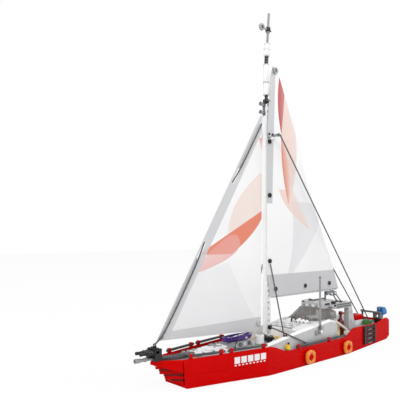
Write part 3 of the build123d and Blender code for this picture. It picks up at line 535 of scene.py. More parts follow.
class Shape:
    """A mesh built up from simple forms, in millimetres, in the row frame."""

    def __init__(self, name: str) -> None:
        """Start an empty shape.

        Args:
            name: The piece's name.
        """
        self.name = name
        self.mesh = bmesh.new()
        self.finishes: list[Finish] = []

    def _index(self, finish: Finish) -> int:
        """The material index of a finish."""
        if finish not in self.finishes:
            self.finishes.append(finish)
        return self.finishes.index(finish)

    def _take(self, part: bmesh.types.BMesh, finish: Finish) -> None:
        """Add a finished form to the shape.

        Args:
            part: The form, which is used up.
            finish: What it is made of.
        """
        bmesh.ops.recalc_face_normals(part, faces=part.faces)
        for face in part.faces:
            face.material_index = self._index(finish)
            face.smooth = True
        data = bpy.data.meshes.new("form")
        part.to_mesh(data)
        part.free()
        self.mesh.from_mesh(data)
        bpy.data.meshes.remove(data)

    @staticmethod
    def _round_edges(part: bmesh.types.BMesh, radius: float, least: float = 30.0) -> None:
        """Round the sharp edges of a form.

        Args:
            part: The form.
            radius: The rounding in millimetres; nothing happens at 0.
            least: The least angle between two faces that is rounded, in degrees.
        """
        if radius <= 0:
            return
        sharp = [
            e for e in part.edges if len(e.link_faces) == 2 and e.calc_face_angle(0) > math.radians(least)
        ]
        bmesh.ops.bevel(
            part, geom=sharp, offset=radius, segments=2, profile=0.6, affect="EDGES", clamp_overlap=True
        )

    def block(
        self, middle: Point, size: Point, finish: Finish, rounding: float = 0.25, turn: Point = (0, 0, 0)
    ) -> "Shape":
        """Add a box.

        Args:
            middle: Its centre.
            size: Its sides.
            finish: What it is made of.
            rounding: The radius of its edges.
            turn: Its rotation about X, Y and Z, in degrees.

        Returns:
            The shape itself.
        """
        part = bmesh.new()
        spin = Matrix.Identity(4)
        for index, axis in enumerate("XYZ"):
            spin = Matrix.Rotation(math.radians(turn[index]), 4, axis) @ spin
        bmesh.ops.create_cube(part, size=1, matrix=Matrix.Diagonal((*size, 1)))
        self._round_edges(part, min(rounding, 0.45 * min(size)))
        part.transform(Matrix.Translation(middle) @ spin)
        self._take(part, finish)
        return self

    def prism(
        self,
        outline: Sequence[Flat],
        start: float,
        end: float,
        axis: Axis,
        finish: Finish,
        rounding: float = 0.25,
        least: float = 30.0,
    ) -> "Shape":
        """Add a flat outline drawn out along an axis.

        Args:
            outline: Points on the two other axes, in X, Y, Z order.
            start: Where it begins along the axis.
            end: Where it ends.
            axis: The axis.
            finish: What it is made of.
            rounding: The radius of its edges.
            least: The least angle that is rounded, in degrees.

        Returns:
            The shape itself.
        """
        part = bmesh.new()

        def corner(point: Flat, along: float) -> Vector:
            values = list(point)
            values.insert(axis.value, along)
            return Vector(values)

        rings = [[part.verts.new(corner(p, along)) for p in outline] for along in (start, end)]
        part.faces.new(rings[0])
        part.faces.new(list(reversed(rings[1])))
        for index, _ in enumerate(outline):
            after = (index + 1) % len(outline)
            part.faces.new([rings[0][index], rings[1][index], rings[1][after], rings[0][after]])
        bmesh.ops.recalc_face_normals(part, faces=part.faces)
        self._round_edges(part, rounding, least)
        self._take(part, finish)
        return self

    def turned(
        self, profile: Sequence[Flat], foot: Point, direction: Point, finish: Finish, segments: int = 32
    ) -> "Shape":
        """Add a form turned on a lathe.

        Args:
            profile: Radius and height pairs, from the foot up.
            foot: The place of height 0.
            direction: The axis that heights go along.
            finish: What it is made of.
            segments: How many sides it has.

        Returns:
            The shape itself.
        """
        part = bmesh.new()
        place = Matrix.Translation(foot) @ (
            Vector((0, 0, 1)).rotation_difference(Vector(direction)).to_matrix().to_4x4()
        )
        rings = []
        for radius, height in profile:
            if radius < 1e-4:
                rings.append([part.verts.new(place @ Vector((0, 0, height)))])
                continue
            angles = (2 * math.pi * k / segments for k in range(segments))
            rings.append(
                [
                    part.verts.new(place @ Vector((radius * math.cos(a), radius * math.sin(a), height)))
                    for a in angles
                ]
            )
        for lower, upper in zip(rings, rings[1:]):
            for k in range(segments):
                corners = [lower[k % len(lower)], lower[(k + 1) % len(lower)]]
                corners += [upper[(k + 1) % len(upper)], upper[k % len(upper)]]
                unique = list(dict.fromkeys(corners))
                if len(unique) > 2:
                    part.faces.new(unique)
        for ring in (rings[0], rings[-1]):
            if len(ring) > 2:
                part.faces.new(ring)
        self._take(part, finish)
        return self

    def rod(
        self, start: Point, end: Point, radius: float, finish: Finish, tip: Optional[float] = None,
        rounding: float = 0.2
    ) -> "Shape":
        """Add a round bar or a cone with softened ends.

        Args:
            start: One end of its axis.
            end: The other end.
            radius: Its radius at the start.
            finish: What it is made of.
            tip: Its radius at the end, if it tapers.
            rounding: The radius of its rims.

        Returns:
            The shape itself.
        """
        line = Vector(end) - Vector(start)
        far = radius if tip is None else tip
        near_rim, far_rim = min(rounding, radius * 0.4), min(rounding, far * 0.4)
        profile = [
            (radius - near_rim, 0.0),
            (radius - near_rim * 0.3, near_rim * 0.3),
            (radius, near_rim),
            (far, line.length - far_rim),
            (far - far_rim * 0.3, line.length - far_rim * 0.3),
            (far - far_rim, line.length),
        ]
        return self.turned(profile, start, tuple(line), finish)

    def ring(
        self, middle: Point, direction: Point, major: float, minor: float, finish: Finish, squash: float = 1.0
    ) -> "Shape":
        """Add a round ring.

        Args:
            middle: Its centre.
            direction: The axis through its hole.
            major: The radius of its tube's middle line.
            minor: The radius of its tube.
            finish: What it is made of.
            squash: The tube's height along the axis, as a share of its width.

        Returns:
            The shape itself.
        """
        around, across = 56, 20
        part = bmesh.new()
        place = Matrix.Translation(middle) @ (
            Vector((0, 0, 1)).rotation_difference(Vector(direction)).to_matrix().to_4x4()
        )
        grid = []
        for i in range(around):
            a = 2 * math.pi * i / around
            row = []
            for j in range(across):
                b = 2 * math.pi * j / across
                reach = major + minor * math.cos(b)
                spot = Vector((reach * math.cos(a), reach * math.sin(a), minor * math.sin(b) * squash))
                row.append(part.verts.new(place @ spot))
            grid.append(row)
        for i in range(around):
            for j in range(across):
                after, above = (i + 1) % around, (j + 1) % across
                part.faces.new([grid[i][j], grid[after][j], grid[after][above], grid[i][above]])
        self._take(part, finish)
        return self

    def stud(self, x: float, y: float, z: float, finish: Finish) -> "Shape":
        """Add a plain stud standing on a level surface."""
        profile = [(2.4, -0.2), (2.4, 1.45), (2.32, 1.62), (2.15, 1.7), (0.0, 1.7)]
        return self.turned(profile, (x, y, z), (0, 0, 1), finish, 24)

    def pin_head(
        self, x: float, y: float, z: float, side: int, finish: Finish, radius: float = 3.0
    ) -> "Shape":
        """Add the round head of a pin with a hollow middle, facing port or starboard."""
        profile = [
            (radius, 0.0),
            (radius, 1.1),
            (radius - 0.3, 1.4),
            (radius - 1.0, 1.4),
            (radius - 1.2, 0.8),
            (0.0, 0.8),
        ]
        return self.turned(profile, (x, y, z), (0, side, 0), finish, 28)

    def loft(self, sections: Sequence[Sequence[Point]], finish: Finish, closed: bool = True) -> "Shape":
        """Add a skin over a row of sections with equal numbers of points.

        Args:
            sections: The sections, each a loop of points.
            finish: What it is made of.
            closed: Whether the two end sections are capped.

        Returns:
            The shape itself.
        """
        part = bmesh.new()
        rings = [[part.verts.new(point) for point in section] for section in sections]
        for lower, upper in zip(rings, rings[1:]):
            for index, _ in enumerate(lower):
                after = (index + 1) % len(lower)
                part.faces.new([lower[index], lower[after], upper[after], upper[index]])
        if closed:
            part.faces.new(rings[0])
            part.faces.new(rings[-1])
        self._take(part, finish)
        return self

    def mirror(self) -> "Shape":
        """Add a copy of everything so far on the other side of the boat."""
        copied = bmesh.ops.duplicate(
            self.mesh, geom=self.mesh.verts[:] + self.mesh.edges[:] + self.mesh.faces[:]
        )
        verts = [item for item in copied["geom"] if isinstance(item, bmesh.types.BMVert)]
        faces = [item for item in copied["geom"] if isinstance(item, bmesh.types.BMFace)]
        for vert in verts:
            vert.co.y = -vert.co.y
        bmesh.ops.reverse_faces(self.mesh, faces=faces)
        return self

    def piece(
        self, body: Optional[Body | str], slot: str, stands_for: Iterable[str] = (), weighted: bool = True
    ) -> bpy.types.Object:
        """Turn the shape into an object of the scene.

        Args:
            body: The rigid body that it rides on, or None for a piece that rides on none.
            slot: The record's material slot; it is not used.
            stands_for: The frame nodes that it replaces.
            weighted: Whether flat faces keep flat shading beside rounded edges.

        Returns:
            The object.
        """
        self.mesh.transform(RAISE)
        data = bpy.data.meshes.new(self.name)
        self.mesh.to_mesh(data)
        self.mesh.free()
        for finish in self.finishes:
            data.materials.append(finish.material())
        data.set_sharp_from_angle(angle=math.radians(38))
        thing = bpy.data.objects.new(self.name, data)
        bpy.context.scene.collection.objects.link(thing)
        if weighted:
            thing.modifiers.new("weights", "WEIGHTED_NORMAL").keep_sharp = True
        if body:
            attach(thing, body.value if isinstance(body, Body) else body)
        nodes = list(stands_for)
        if nodes:
            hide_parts(*nodes)
        LOG.info("%s: %d faces on %s", self.name, len(data.polygons), body)
        return thing


@dataclass(frozen=True)
class Zone:
    """A box in which the faces of a frame node take another finish."""

    finish: Finish
    low: Point
    high: Point

    def holds(self, place: Vector) -> bool:
        """Whether a place in millimetres is in the box."""
        return all(a <= v <= b for a, v, b in zip(self.low, place, self.high))


@dataclass
class FrameFinish:
    """Dresses a frame node that keeps its own shape."""

    node: str
    finish: Finish
    rounding: float = 0.22
    zones: Sequence[Zone] = ()

    def build(self) -> None:
        """Give the node its finishes and soften its edges."""
        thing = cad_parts[self.node]
        thing.data.materials.clear()
        thing.data.materials.append(self.finish.material())
        for index, zone in enumerate(self.zones, 1):
            thing.data.materials.append(zone.finish.material())
            for face in thing.data.polygons:
                if zone.holds(lowered(face.center)):
                    face.material_index = index
        LOG.info("%s keeps its shape, in %s", self.node, self.finish.name)
        if self.rounding <= 0:
            return
        weld = thing.modifiers.new("weld", "WELD")
        weld.merge_threshold = 0.005 * MM
        bevel = thing.modifiers.new("edges", "BEVEL")
        bevel.width = self.rounding * MM
        bevel.segments = 2
        bevel.limit_method = "ANGLE"
        bevel.angle_limit = math.radians(40)
        bevel.harden_normals = True


# ---------------------------------------------------------------- hull


@dataclass
class Hull:
    """The red hull: strakes, panels, transom, frames and the stacked stem."""

    plate: float = 3.2
    dash_pitch: float = 5.3
    tile_middle: float = 97.8
    dash: Point = (2.6, 0.3, 1.5)
    dash_height: float = 16.6
    side_at_tiles: tuple[Flat, Flat] = ((125.0, 31.0), (71.0, 40.0))

    def build(self) -> None:
        """Build the hull."""
        for side in ("port", "starboard"):
            FrameFinish(f"side_lower_{side}", Finish.RED, 0.35).build()
            FrameFinish(f"side_upper_{side}", Finish.RED, 0.35).build()
        FrameFinish("transom", Finish.RED, 0.3).build()
        FrameFinish("bottom_plate", Finish.RED, 0.3).build()
        FrameFinish("keel_spine", Finish.LIGHT_GREY, 0.3).build()
        FrameFinish("hull_frames", Finish.DARK_GREY, 0.2).build()
        self.stem()
        FrameFinish("name_tiles", Finish.WHITE, 0.15).build()
        self.dashes()

    def stem(self) -> None:
        """Dress the stem: the recessed slats between red ones, under red cheeks, take deep red as painted
        shade.
        """
        # Layers 2, 4 and 6 take deep red: painted shade of the recesses between the red slats.
        dark = [
            Zone(
                Finish.DEEP_RED, (165, -17, self.plate * layer + 0.01),
                (215, 17, self.plate * (layer + 1) - 0.01)
            )
            for layer in (2, 4, 6)
        ]
        FrameFinish("stem_stack", Finish.RED, 0.25, dark).build()

    def dashes(self) -> None:
        """Add the row of small plain dashes below the blank tiles, on both sides."""
        (x1, y1), (x2, y2) = self.side_at_tiles
        slope = (y2 - y1) / (x2 - x1)
        shape = Shape("tile_row_dashes")
        for index in range(9):
            x = self.tile_middle + (index - 4) * self.dash_pitch
            y = y1 + (x - x1) * slope + self.dash[1] / 2
            shape.block(
                (x, y, self.dash_height), self.dash, Finish.WHITE, 0.08,
                (0, 0, math.degrees(math.atan(slope)))
            )
        shape.mirror().piece(Body.HULL, "white_plastic")


@dataclass
class Decks:
    """The studded decks between the hull sides."""

    well_end: float = 44.0

    def build(self) -> None:
        """Build the decks."""
        well = Zone(Finish.SAND, (0, -31, 25), (self.well_end, 31, 31.5))
        FrameFinish("foredeck", Finish.LIGHT_GREY, 0.18, (well,)).build()
        FrameFinish("mid_deck", Finish.LIGHT_GREY, 0.18).build()
        FrameFinish("aft_deck", Finish.MID_GREY, 0.18).build()
        self.side_tiles()
        self.stern_tiles()

    def side_tiles(self) -> None:
        """Add the flat tiles that line the side decks and the after well."""
        shape = Shape("side_deck_tiles")
        for index in range(8):
            x = 36.0 - index * 16
            shape.block((x, 36.0, 19.7), (15.6, 2.6, 0.8), Finish.MID_GREY, 0.15)
        shape.block((-114.5, 31.0, 19.9), (12.6, 12.0, 1.2), Finish.DARK_GREY, 0.2)
        shape.mirror().piece(Body.HULL, "light_grey_plastic")

    def stern_tiles(self) -> None:
        """Add the tiles and small hatches of the stern deck."""
        shape = Shape("stern_deck_tiles")
        for x, y, long, wide, finish in (
            (-212.0, 0.0, 11.6, 23.6, Finish.LIGHT_GREY),
            (-212.0, 22.0, 9.6, 14.0, Finish.DARK_GREY),
            (-212.0, -22.0, 9.6, 14.0, Finish.DARK_GREY),
            (-192.0, -22.0, 23.6, 15.6, Finish.LIGHT_GREY),
            (-166.0, -22.0, 23.6, 15.6, Finish.WHITE),
            (-166.0, -2.0, 18.0, 10.0, Finish.LIGHT_GREY),
        ):
            shape.block((x, y, 29.4), (long, wide, 1.2), finish, 0.2)
        for x in (-162.0, -170.0):
            shape.turned(
                [(3.0, 0), (3.0, 0.9), (2.6, 1.2), (0, 1.2)], (x, -22, 30.0), (0, 0, 1), Finish.DARK_GREY
            )
        for x in (-183.0, -190.0, -197.0):
            shape.rod((x, -28, 30.9), (x, -16, 30.9), 0.9, Finish.BLACK)
        shape.piece(Body.HULL, "light_grey_plastic")


@dataclass
class Rails:
    """Dark bars in red clips along the rim."""

    def build(self) -> None:
        """Build the rails."""
        FrameFinish("rail_bars", Finish.IRON, 0.3).build()
        FrameFinish("rail_clips", Finish.RED, 0.3).build()


@dataclass
class LifeRings:
    """Four orange rings on round pins, two on each side."""

    stations: tuple[tuple[str, float], ...] = (("fore", -9.1), ("aft", -97.1))
    height: float = 7.8
    tube: float = 2.925
    major: float = 6.975
    reach: float = 43.525
    bands: int = 4

    def build(self) -> None:
        """Build the rings and dress their pins."""
        FrameFinish("ring_pins", Finish.RED, 0.4).build()
        for station, x in self.stations:
            for side, name in ((1, "port"), (-1, "starboard")):
                self.ring(f"life_ring_{station}_{name}", x, side)
                self.hub(f"ring_hub_{station}_{name}", x, side)

    def ring(self, node: str, x: float, side: int) -> None:
        """Build one ring with its raised bands.

        Args:
            node: The frame node that it stands for.
            x: Its place along the hull.
            side: 1 to port, -1 to starboard.
        """
        middle = (x, side * self.reach, self.height)
        shape = Shape(f"{node}_moulding")
        shape.ring(middle, (0, 1, 0), self.major, self.tube - 0.25, Finish.ORANGE)
        for index in range(self.bands):
            angle = math.tau * (index + 0.5) / self.bands
            out = Vector((math.cos(angle), 0, math.sin(angle)))
            tangent = Vector((-out.z, 0, out.x))
            place = Vector(middle) + out * self.major
            for step in (-1.5, 0.0, 1.5):
                spot = place + tangent * step - out * step * step * 0.05
                shape.ring(tuple(spot), tuple(tangent), self.tube - 0.35, 0.45, Finish.PEACH)
        shape.piece(node, "orange_plastic", [node])

    def hub(self, name: str, x: float, side: int) -> None:
        """Build the hollow stud on a ring's pin."""
        face = Extent.of("ring_pins").high.y
        shape = Shape(name)
        profile = [(3.1, -0.4), (3.1, 0.5), (2.8, 0.75), (1.7, 0.75), (1.5, 0.2), (0, 0.2)]
        shape.turned(profile, (x, side * face, self.height), (0, side, 0), Finish.RED)
        shape.piece(Body.HULL, "red_plastic")


@dataclass
class Ladder:
    """The boarding ladder on the port quarter."""

    front: float = -143.0
    back: float = -176.0
    face: float = 40.12
    low: float = 4.4
    high: float = 31.4
    rungs: int = 4

    def build(self) -> None:
        """Build the ladder."""
        shape = Shape("boarding_ladder")
        middle, up = (self.front + self.back) / 2, (self.low + self.high) / 2
        tall, long = self.high - self.low, self.front - self.back
        shape.block((middle, self.face + 0.4, up), (long, 0.8, tall), Finish.BROWN, 0.2)
        for x in (self.front - 2.5, self.back + 2.5):
            shape.block((x, self.face + 1.3, up), (4.0, 2.4, tall), Finish.BLACK, 0.35)
        for index in range(self.rungs):
            z = self.low + tall / self.rungs * (index + 0.5)
            shape.rod(
                (self.back + 1, self.face + 1.5, z), (self.front - 1, self.face + 1.5, z), 1.1, Finish.BLACK
            )
            for x in (middle - 7.0, middle + 7.0):
                shape.block((x, self.face + 1.2, z + 2.3), (8.5, 0.8, 1.3), Finish.BROWN, 0.3, (12, 0, 0))
            shape.block((middle, self.face + 1.7, z - 2.4), (9.0, 0.8, 1.1), Finish.MID_GREY, 0.3)
        shape.piece(Body.HULL, "black_plastic", ["ladder"])


# ---------------------------------------------------------------- bow and foredeck


@dataclass
class BowFittings:
    """The black block on the stem head with its barrels and nozzle."""

    block: tuple[Point, Point] = ((212.25, 0, 39.1), (9.5, 15.0, 14.0))
    spread: float = 4.0

    def build(self) -> None:
        """Build the stem head."""
        middle, size = self.block
        shape = Shape("stemhead_casting")
        shape.block(middle, (size[0] - 2.6, size[1] - 3.0, size[2]), Finish.BLACK, 0.4)
        for side in (1, -1):
            shape.block((middle[0], side * 6.4, middle[2] + 0.6), (size[0], 2.2, 12.6), Finish.BLACK, 0.7)
            shape.block((middle[0] + 1, side * 6.7, middle[2] + 3.4), (5.0, 1.6, 3.4), Finish.DARK_GREY, 0.5)
            self.barrel(shape, side * self.spread)
        for z in (34.4, 38.4):
            shape.block((middle[0] - 0.4, 0, z), (size[0] - 0.8, 13.4, 1.2), Finish.DARK_GREY, 0.3)
        for side in (1, -1):
            shape.stud(middle[0], side * 4.0, middle[2] + 6.0, Finish.BLACK)
        shape.rod((211.5, 0, 45.0), (211.5, 0, 48.2), 1.59, Finish.BLACK)
        self.nozzle(shape)
        shape.piece(Body.HULL, "black_plastic", ["stemhead"])

    def barrel(self, shape: Shape, y: float) -> None:
        """Add one tapered barrel with its collar and muzzle."""
        start, axis = (217.0, y, 41.8), (1, 0, 0.035)
        profile = [(2.95, -1), (2.95, 3.4), (2.3, 3.8), (2.3, 6.0), (2.7, 6.3), (2.7, 7.6), (2.1, 8.0)]
        profile += [(1.6, 13.6), (1.9, 13.9), (1.9, 16.9), (1.0, 17.0), (1.0, 14.0), (0, 14.0)]
        shape.turned(profile, start, axis, Finish.BLACK)

    def nozzle(self, shape: Shape) -> None:
        """Add the grey nozzle that points forward under the barrels."""
        profile = [(1.7, -1), (1.7, 6), (2.3, 6.4), (2.3, 9.0), (1.8, 9.4), (1.8, 11.5), (2.5, 16.5)]
        profile += [(2.55, 21.0), (1.7, 21.0), (1.5, 14.0), (0, 14.0)]
        shape.turned(profile, (217.0, 0, 34.8), (1, 0, 0.028), Finish.MID_GREY)
        shape.block((219.4, 0, 37.6), (4.4, 6.0, 2.6), Finish.BLACK, 0.5)


@dataclass
class Foredeck:
    """The gear on the foredeck, forward of the mast."""

    deck: float = 28.8
    lantern: Flat = (29.0, 36.2)

    def build(self) -> None:
        """Build the gear, piece by piece."""
        self.life_raft()
        self.small_gear()
        self.whip()
        self.deck_lantern()
        self.cradle()
        self.dinghy()
        self.canister()
        self.winch()
        self.mast_partners()

    def life_raft(self) -> None:
        """Build the white rounded cases ahead of the dinghy."""
        shape = Shape("liferaft_cases")
        for middle, size, rounding in (
            ((130, 0, self.deck + 1.7), (45.6, 25.6, 3.4), 1.2),
            ((124, 0, self.deck + 4.6), (27.6, 17.6, 3.4), 1.4),
        ):
            shape.block(middle, size, Finish.WHITE, rounding)
        for x in (147, 137.5, 119, 111):
            shape.block((x, 0, self.deck + 3.3), (1.0, 25.9, 1.0), Finish.LIGHT_GREY, 0.2)
        for x, y in ((149.0, 9.0), (134.0, 10.6), (121.0, 10.6), (112.0, 10.6), (128.0, 5.0), (118.0, 5.0)):
            z = self.deck + (6.3 if abs(y) < 8 else 3.4)
            profile = [(1.7, -0.4), (1.7, 0.35), (1.2, 0.5), (1.0, 0.1), (0, 0.1)]
            for side in (1, -1):
                shape.turned(profile, (x, side * y, z), (0, 0, 1), Finish.DARK_GREY, 20)
        shape.turned(
            [(4.5, 0), (4.5, 2.3), (4.1, 3.0), (3.0, 3.4), (2.6, 3.2), (0, 3.2)],
            (145, 0, self.deck + 3.3), (0, 0, 1), Finish.WHITE,
        )
        shape.rod((127.0, -7.0, self.deck + 7.1), (121.0, 6.0, self.deck + 7.1), 0.8, Finish.MID_GREY)
        shape.piece(Body.HULL, "white_plastic", ["deck_gear"])

    def small_gear(self) -> None:
        """Build the small coloured pieces beside the cases and round the mast."""
        shape = Shape("foredeck_small_gear")
        shape.block((166.0, 8.5, self.deck + 1.4), (10.0, 7.0, 2.8), Finish.TAN, 0.7)
        shape.block((158.5, 9.5, self.deck + 1.2), (5.0, 6.0, 2.4), Finish.OLIVE, 0.6)
        shape.block((166.0, -8.5, self.deck + 1.4), (10.0, 7.0, 2.8), Finish.DARK_GREY, 0.7)
        shape.rod((26.5, 16.5, self.deck), (26.5, 16.5, self.deck + 7.4), 2.3, Finish.YELLOW)
        shape.rod((22.5, 19.5, self.deck), (22.5, 19.5, self.deck + 5.4), 1.5, Finish.RED)
        for y in (-8.0, 8.0):
            shape.block((8.4, y, self.deck + 0.8), (7.6, 7.6, 1.6), Finish.TAN, 0.2)
        shape.piece(Body.HULL, "tan_plastic")

    def whip(self) -> None:
        """Build the thin black whip by the port rail, on its round foot."""
        shape = Shape("foredeck_whip")
        shape.turned(
            [(2.2, 0), (2.2, 1.6), (1.4, 2.2), (1.4, 3.6), (0.8, 4.2), (0, 4.2)],
            (104.0, 15.0, self.deck), (-0.14, 0, 1), Finish.BLACK, 20,
        )
        shape.rod((103.7, 15.0, self.deck + 2), (97.6, 15.0, 47.9), 0.8, Finish.BLACK, 0.55)
        shape.piece(Body.HULL, "black_plastic")

    def deck_lantern(self) -> None:
        """Build the yellow lantern with its black cap on the port side deck."""
        x, y = self.lantern
        shape = Shape("side_deck_lantern")
        profile = [
            (0.7, 0), (0.7, 3.0), (3.0, 3.4), (3.6, 4.0), (3.6, 6.6), (3.2, 6.9), (3.6, 7.2), (3.4, 8.8),
            (2.2, 9.4)
        ]
        shape.turned(profile, (x, y, 19.2), (0, 0, 1), Finish.YELLOW, 24)
        cap = [(1.2, 0), (1.3, 0.6), (0.9, 1.5), (1.4, 2.4), (1.2, 3.0), (0, 3.2)]
        shape.turned(cap, (x - 1.4, y, 28.3), (-0.3, 0, 1), Finish.BLACK, 16)
        shape.piece(Body.HULL, "tan_plastic")

    def cradle(self) -> None:
        """Build the grey cradle under the dinghy, with its dark pin ends."""
        box = Extent.of("dinghy_cradle")
        outline = [(64, self.deck), (104, self.deck), (101, 35.0), (98.5, 36.7), (69.5, 36.7), (67, 35.0)]
        shape = Shape("dinghy_chocks")
        shape.prism(outline, box.low.y, box.high.y, Axis.Y, Finish.MID_GREY, 0.4)
        for x in (71.0, 79.0, 87.0, 95.0):
            for side in (1, -1):
                finish = Finish.BLACK if x in (71.0, 87.0) else Finish.WHITE
                shape.pin_head(x, side * (box.high.y - 0.9), 32.6, side, finish, 2.3)
        for side in (1, -1):
            shape.block((66.0, side * 6.0, self.deck + 1.2), (3.0, 3.0, 2.4), Finish.OLIVE, 0.4)
        shape.piece(Body.HULL, "light_grey_plastic", ["dinghy_cradle"])

    def dinghy(self) -> None:
        """Build the dinghy: a thin moulded shell with a rolled rim and two thwarts."""
        box = Extent.of("dinghy")
        low, high, bow, stern = box.low.z, box.high.z, box.high.x, box.low.x
        shape = Shape("dinghy_shell")
        count = 40
        rings = []
        for share, rise, inset in (
            (0.55, 0.0, 0.0), (0.82, 0.12, 0.0), (0.94, 0.5, 0.0), (1.0, 1.0, 0.0),
            (0.98, 1.0, 1.3), (0.9, 0.5, 1.3), (0.76, 0.3, 1.3), (0.5, 0.25, 1.3),
        ):
            ring = []
            for index in range(count):
                x, y = self.plan(
                    index / count, bow - inset - (1 - share) * 9, stern + inset + (1 - share) * 4
                )
                ring.append((x, y * (8.0 * share - inset) / 8.0, low + (high - low) * rise))
            rings.append(ring)
        shape.loft(rings, Finish.PURPLE)
        for x in (74.0, 86.0):
            shape.block((x, 0, high - 2.2), (4.0, 12.6, 1.0), Finish.PURPLE, 0.3)
        shape.rod((64.0, -5.0, high - 0.9), (96.0, 3.6, high - 0.9), 0.7, Finish.WHITE)
        shape.block((98.0, 4.1, high - 0.9), (6.5, 2.4, 0.8), Finish.WHITE, 0.3, (0, 0, 15))
        shape.piece(Body.HULL, "purple_plastic", ["dinghy"])

    @staticmethod
    def plan(turn: float, bow: float, stern: float) -> Flat:
        """A point on the dinghy's plan outline.

        Args:
            turn: How far round it is, from 0 at the bow to 1.
            bow: The bow's place.
            stern: The stern's place.

        Returns:
            The place along and across, for a half width of 8.
        """
        angle = math.tau * turn
        along = math.cos(angle)
        x = (bow + stern) / 2 + (bow - stern) / 2 * along
        full = min(1.0, abs(math.sin(angle)) ** 0.55)
        taper = 1.0 if along < 0.1 else 1.0 - ((along - 0.1) / 0.9) ** 2 * 0.45
        return x, 8.0 * math.copysign(full, math.sin(angle)) * taper

    def canister(self) -> None:
        """Build the white canister with its grooves, slot and green foot."""
        box = Extent.of("canister")
        x, y = box.middle.x, box.middle.y
        shape = Shape("canister_barrel")
        shape.turned([(5.9, 0), (5.9, 1.6), (5.5, 1.7)], (x, y, box.low.z), (0, 0, 1), Finish.OLIVE)
        profile = [(5.5, 1.6), (5.9, 1.8), (5.9, 4.6), (5.7, 4.8), (5.7, 5.2), (5.9, 5.4), (5.9, 8.8)]
        profile += [(5.7, 9.0), (5.7, 9.4), (5.9, 9.6), (5.9, 11.6), (5.4, 12.3), (0, 12.3)]
        shape.turned(profile, (x, y, box.low.z), (0, 0, 1), Finish.WHITE, 40)
        shape.block((x, y, box.high.z - 0.35), (1.3, 8.0, 0.3), Finish.BLACK, 0.1)
        shape.piece(Body.HULL, "white_plastic", ["canister"])

    def winch(self) -> None:
        """Build the black toothed winch on its turning body."""
        box = Extent.of("winch")
        x, y, z = box.middle.x, box.middle.y, box.low.z
        shape = Shape("winch_drum")
        profile = [
            (3.9, 0), (3.9, 0.8), (3.0, 1.2), (3.0, 3.6), (3.9, 4.1), (3.9, 5.0), (3.1, 5.2), (3.1, 7.3)
        ]
        shape.turned(
            profile + [(2.6, 7.6), (1.6, 7.6), (1.4, 6.0), (0, 6.0)], (x, y, z), (0, 0, 1), Finish.BLACK
        )
        for index in range(8):
            angle = math.tau * index / 8
            place = (x + 4.5 * math.cos(angle), y + 4.5 * math.sin(angle), z + 6.2)
            shape.block(place, (2.4, 1.7, 2.4), Finish.BLACK, 0.4, (0, 0, math.degrees(angle)))
        shape.piece(Body.WINCH, "black_plastic", ["winch"])

    def mast_partners(self) -> None:
        """Build the tan and grey plates round the mast's foot."""
        shape = Shape("mast_partner_plates")
        for x, y, long, wide, finish in (
            (29.0, -16.0, 20.0, 13.0, Finish.TAN),
            (16.0, 0.0, 6.0, 20.0, Finish.SAND),
            (40.0, 0.0, 5.6, 16.0, Finish.MID_GREY),
        ):
            shape.block((x, y, self.deck + 0.7), (long, wide, 1.4), finish, 0.3)
        for x in (22.0, 29.0, 36.0):
            shape.stud(x, -16.0, self.deck + 1.4, Finish.TAN)
        shape.piece(Body.HULL, "tan_plastic")


# ---------------------------------------------------------------- cabin and cockpit


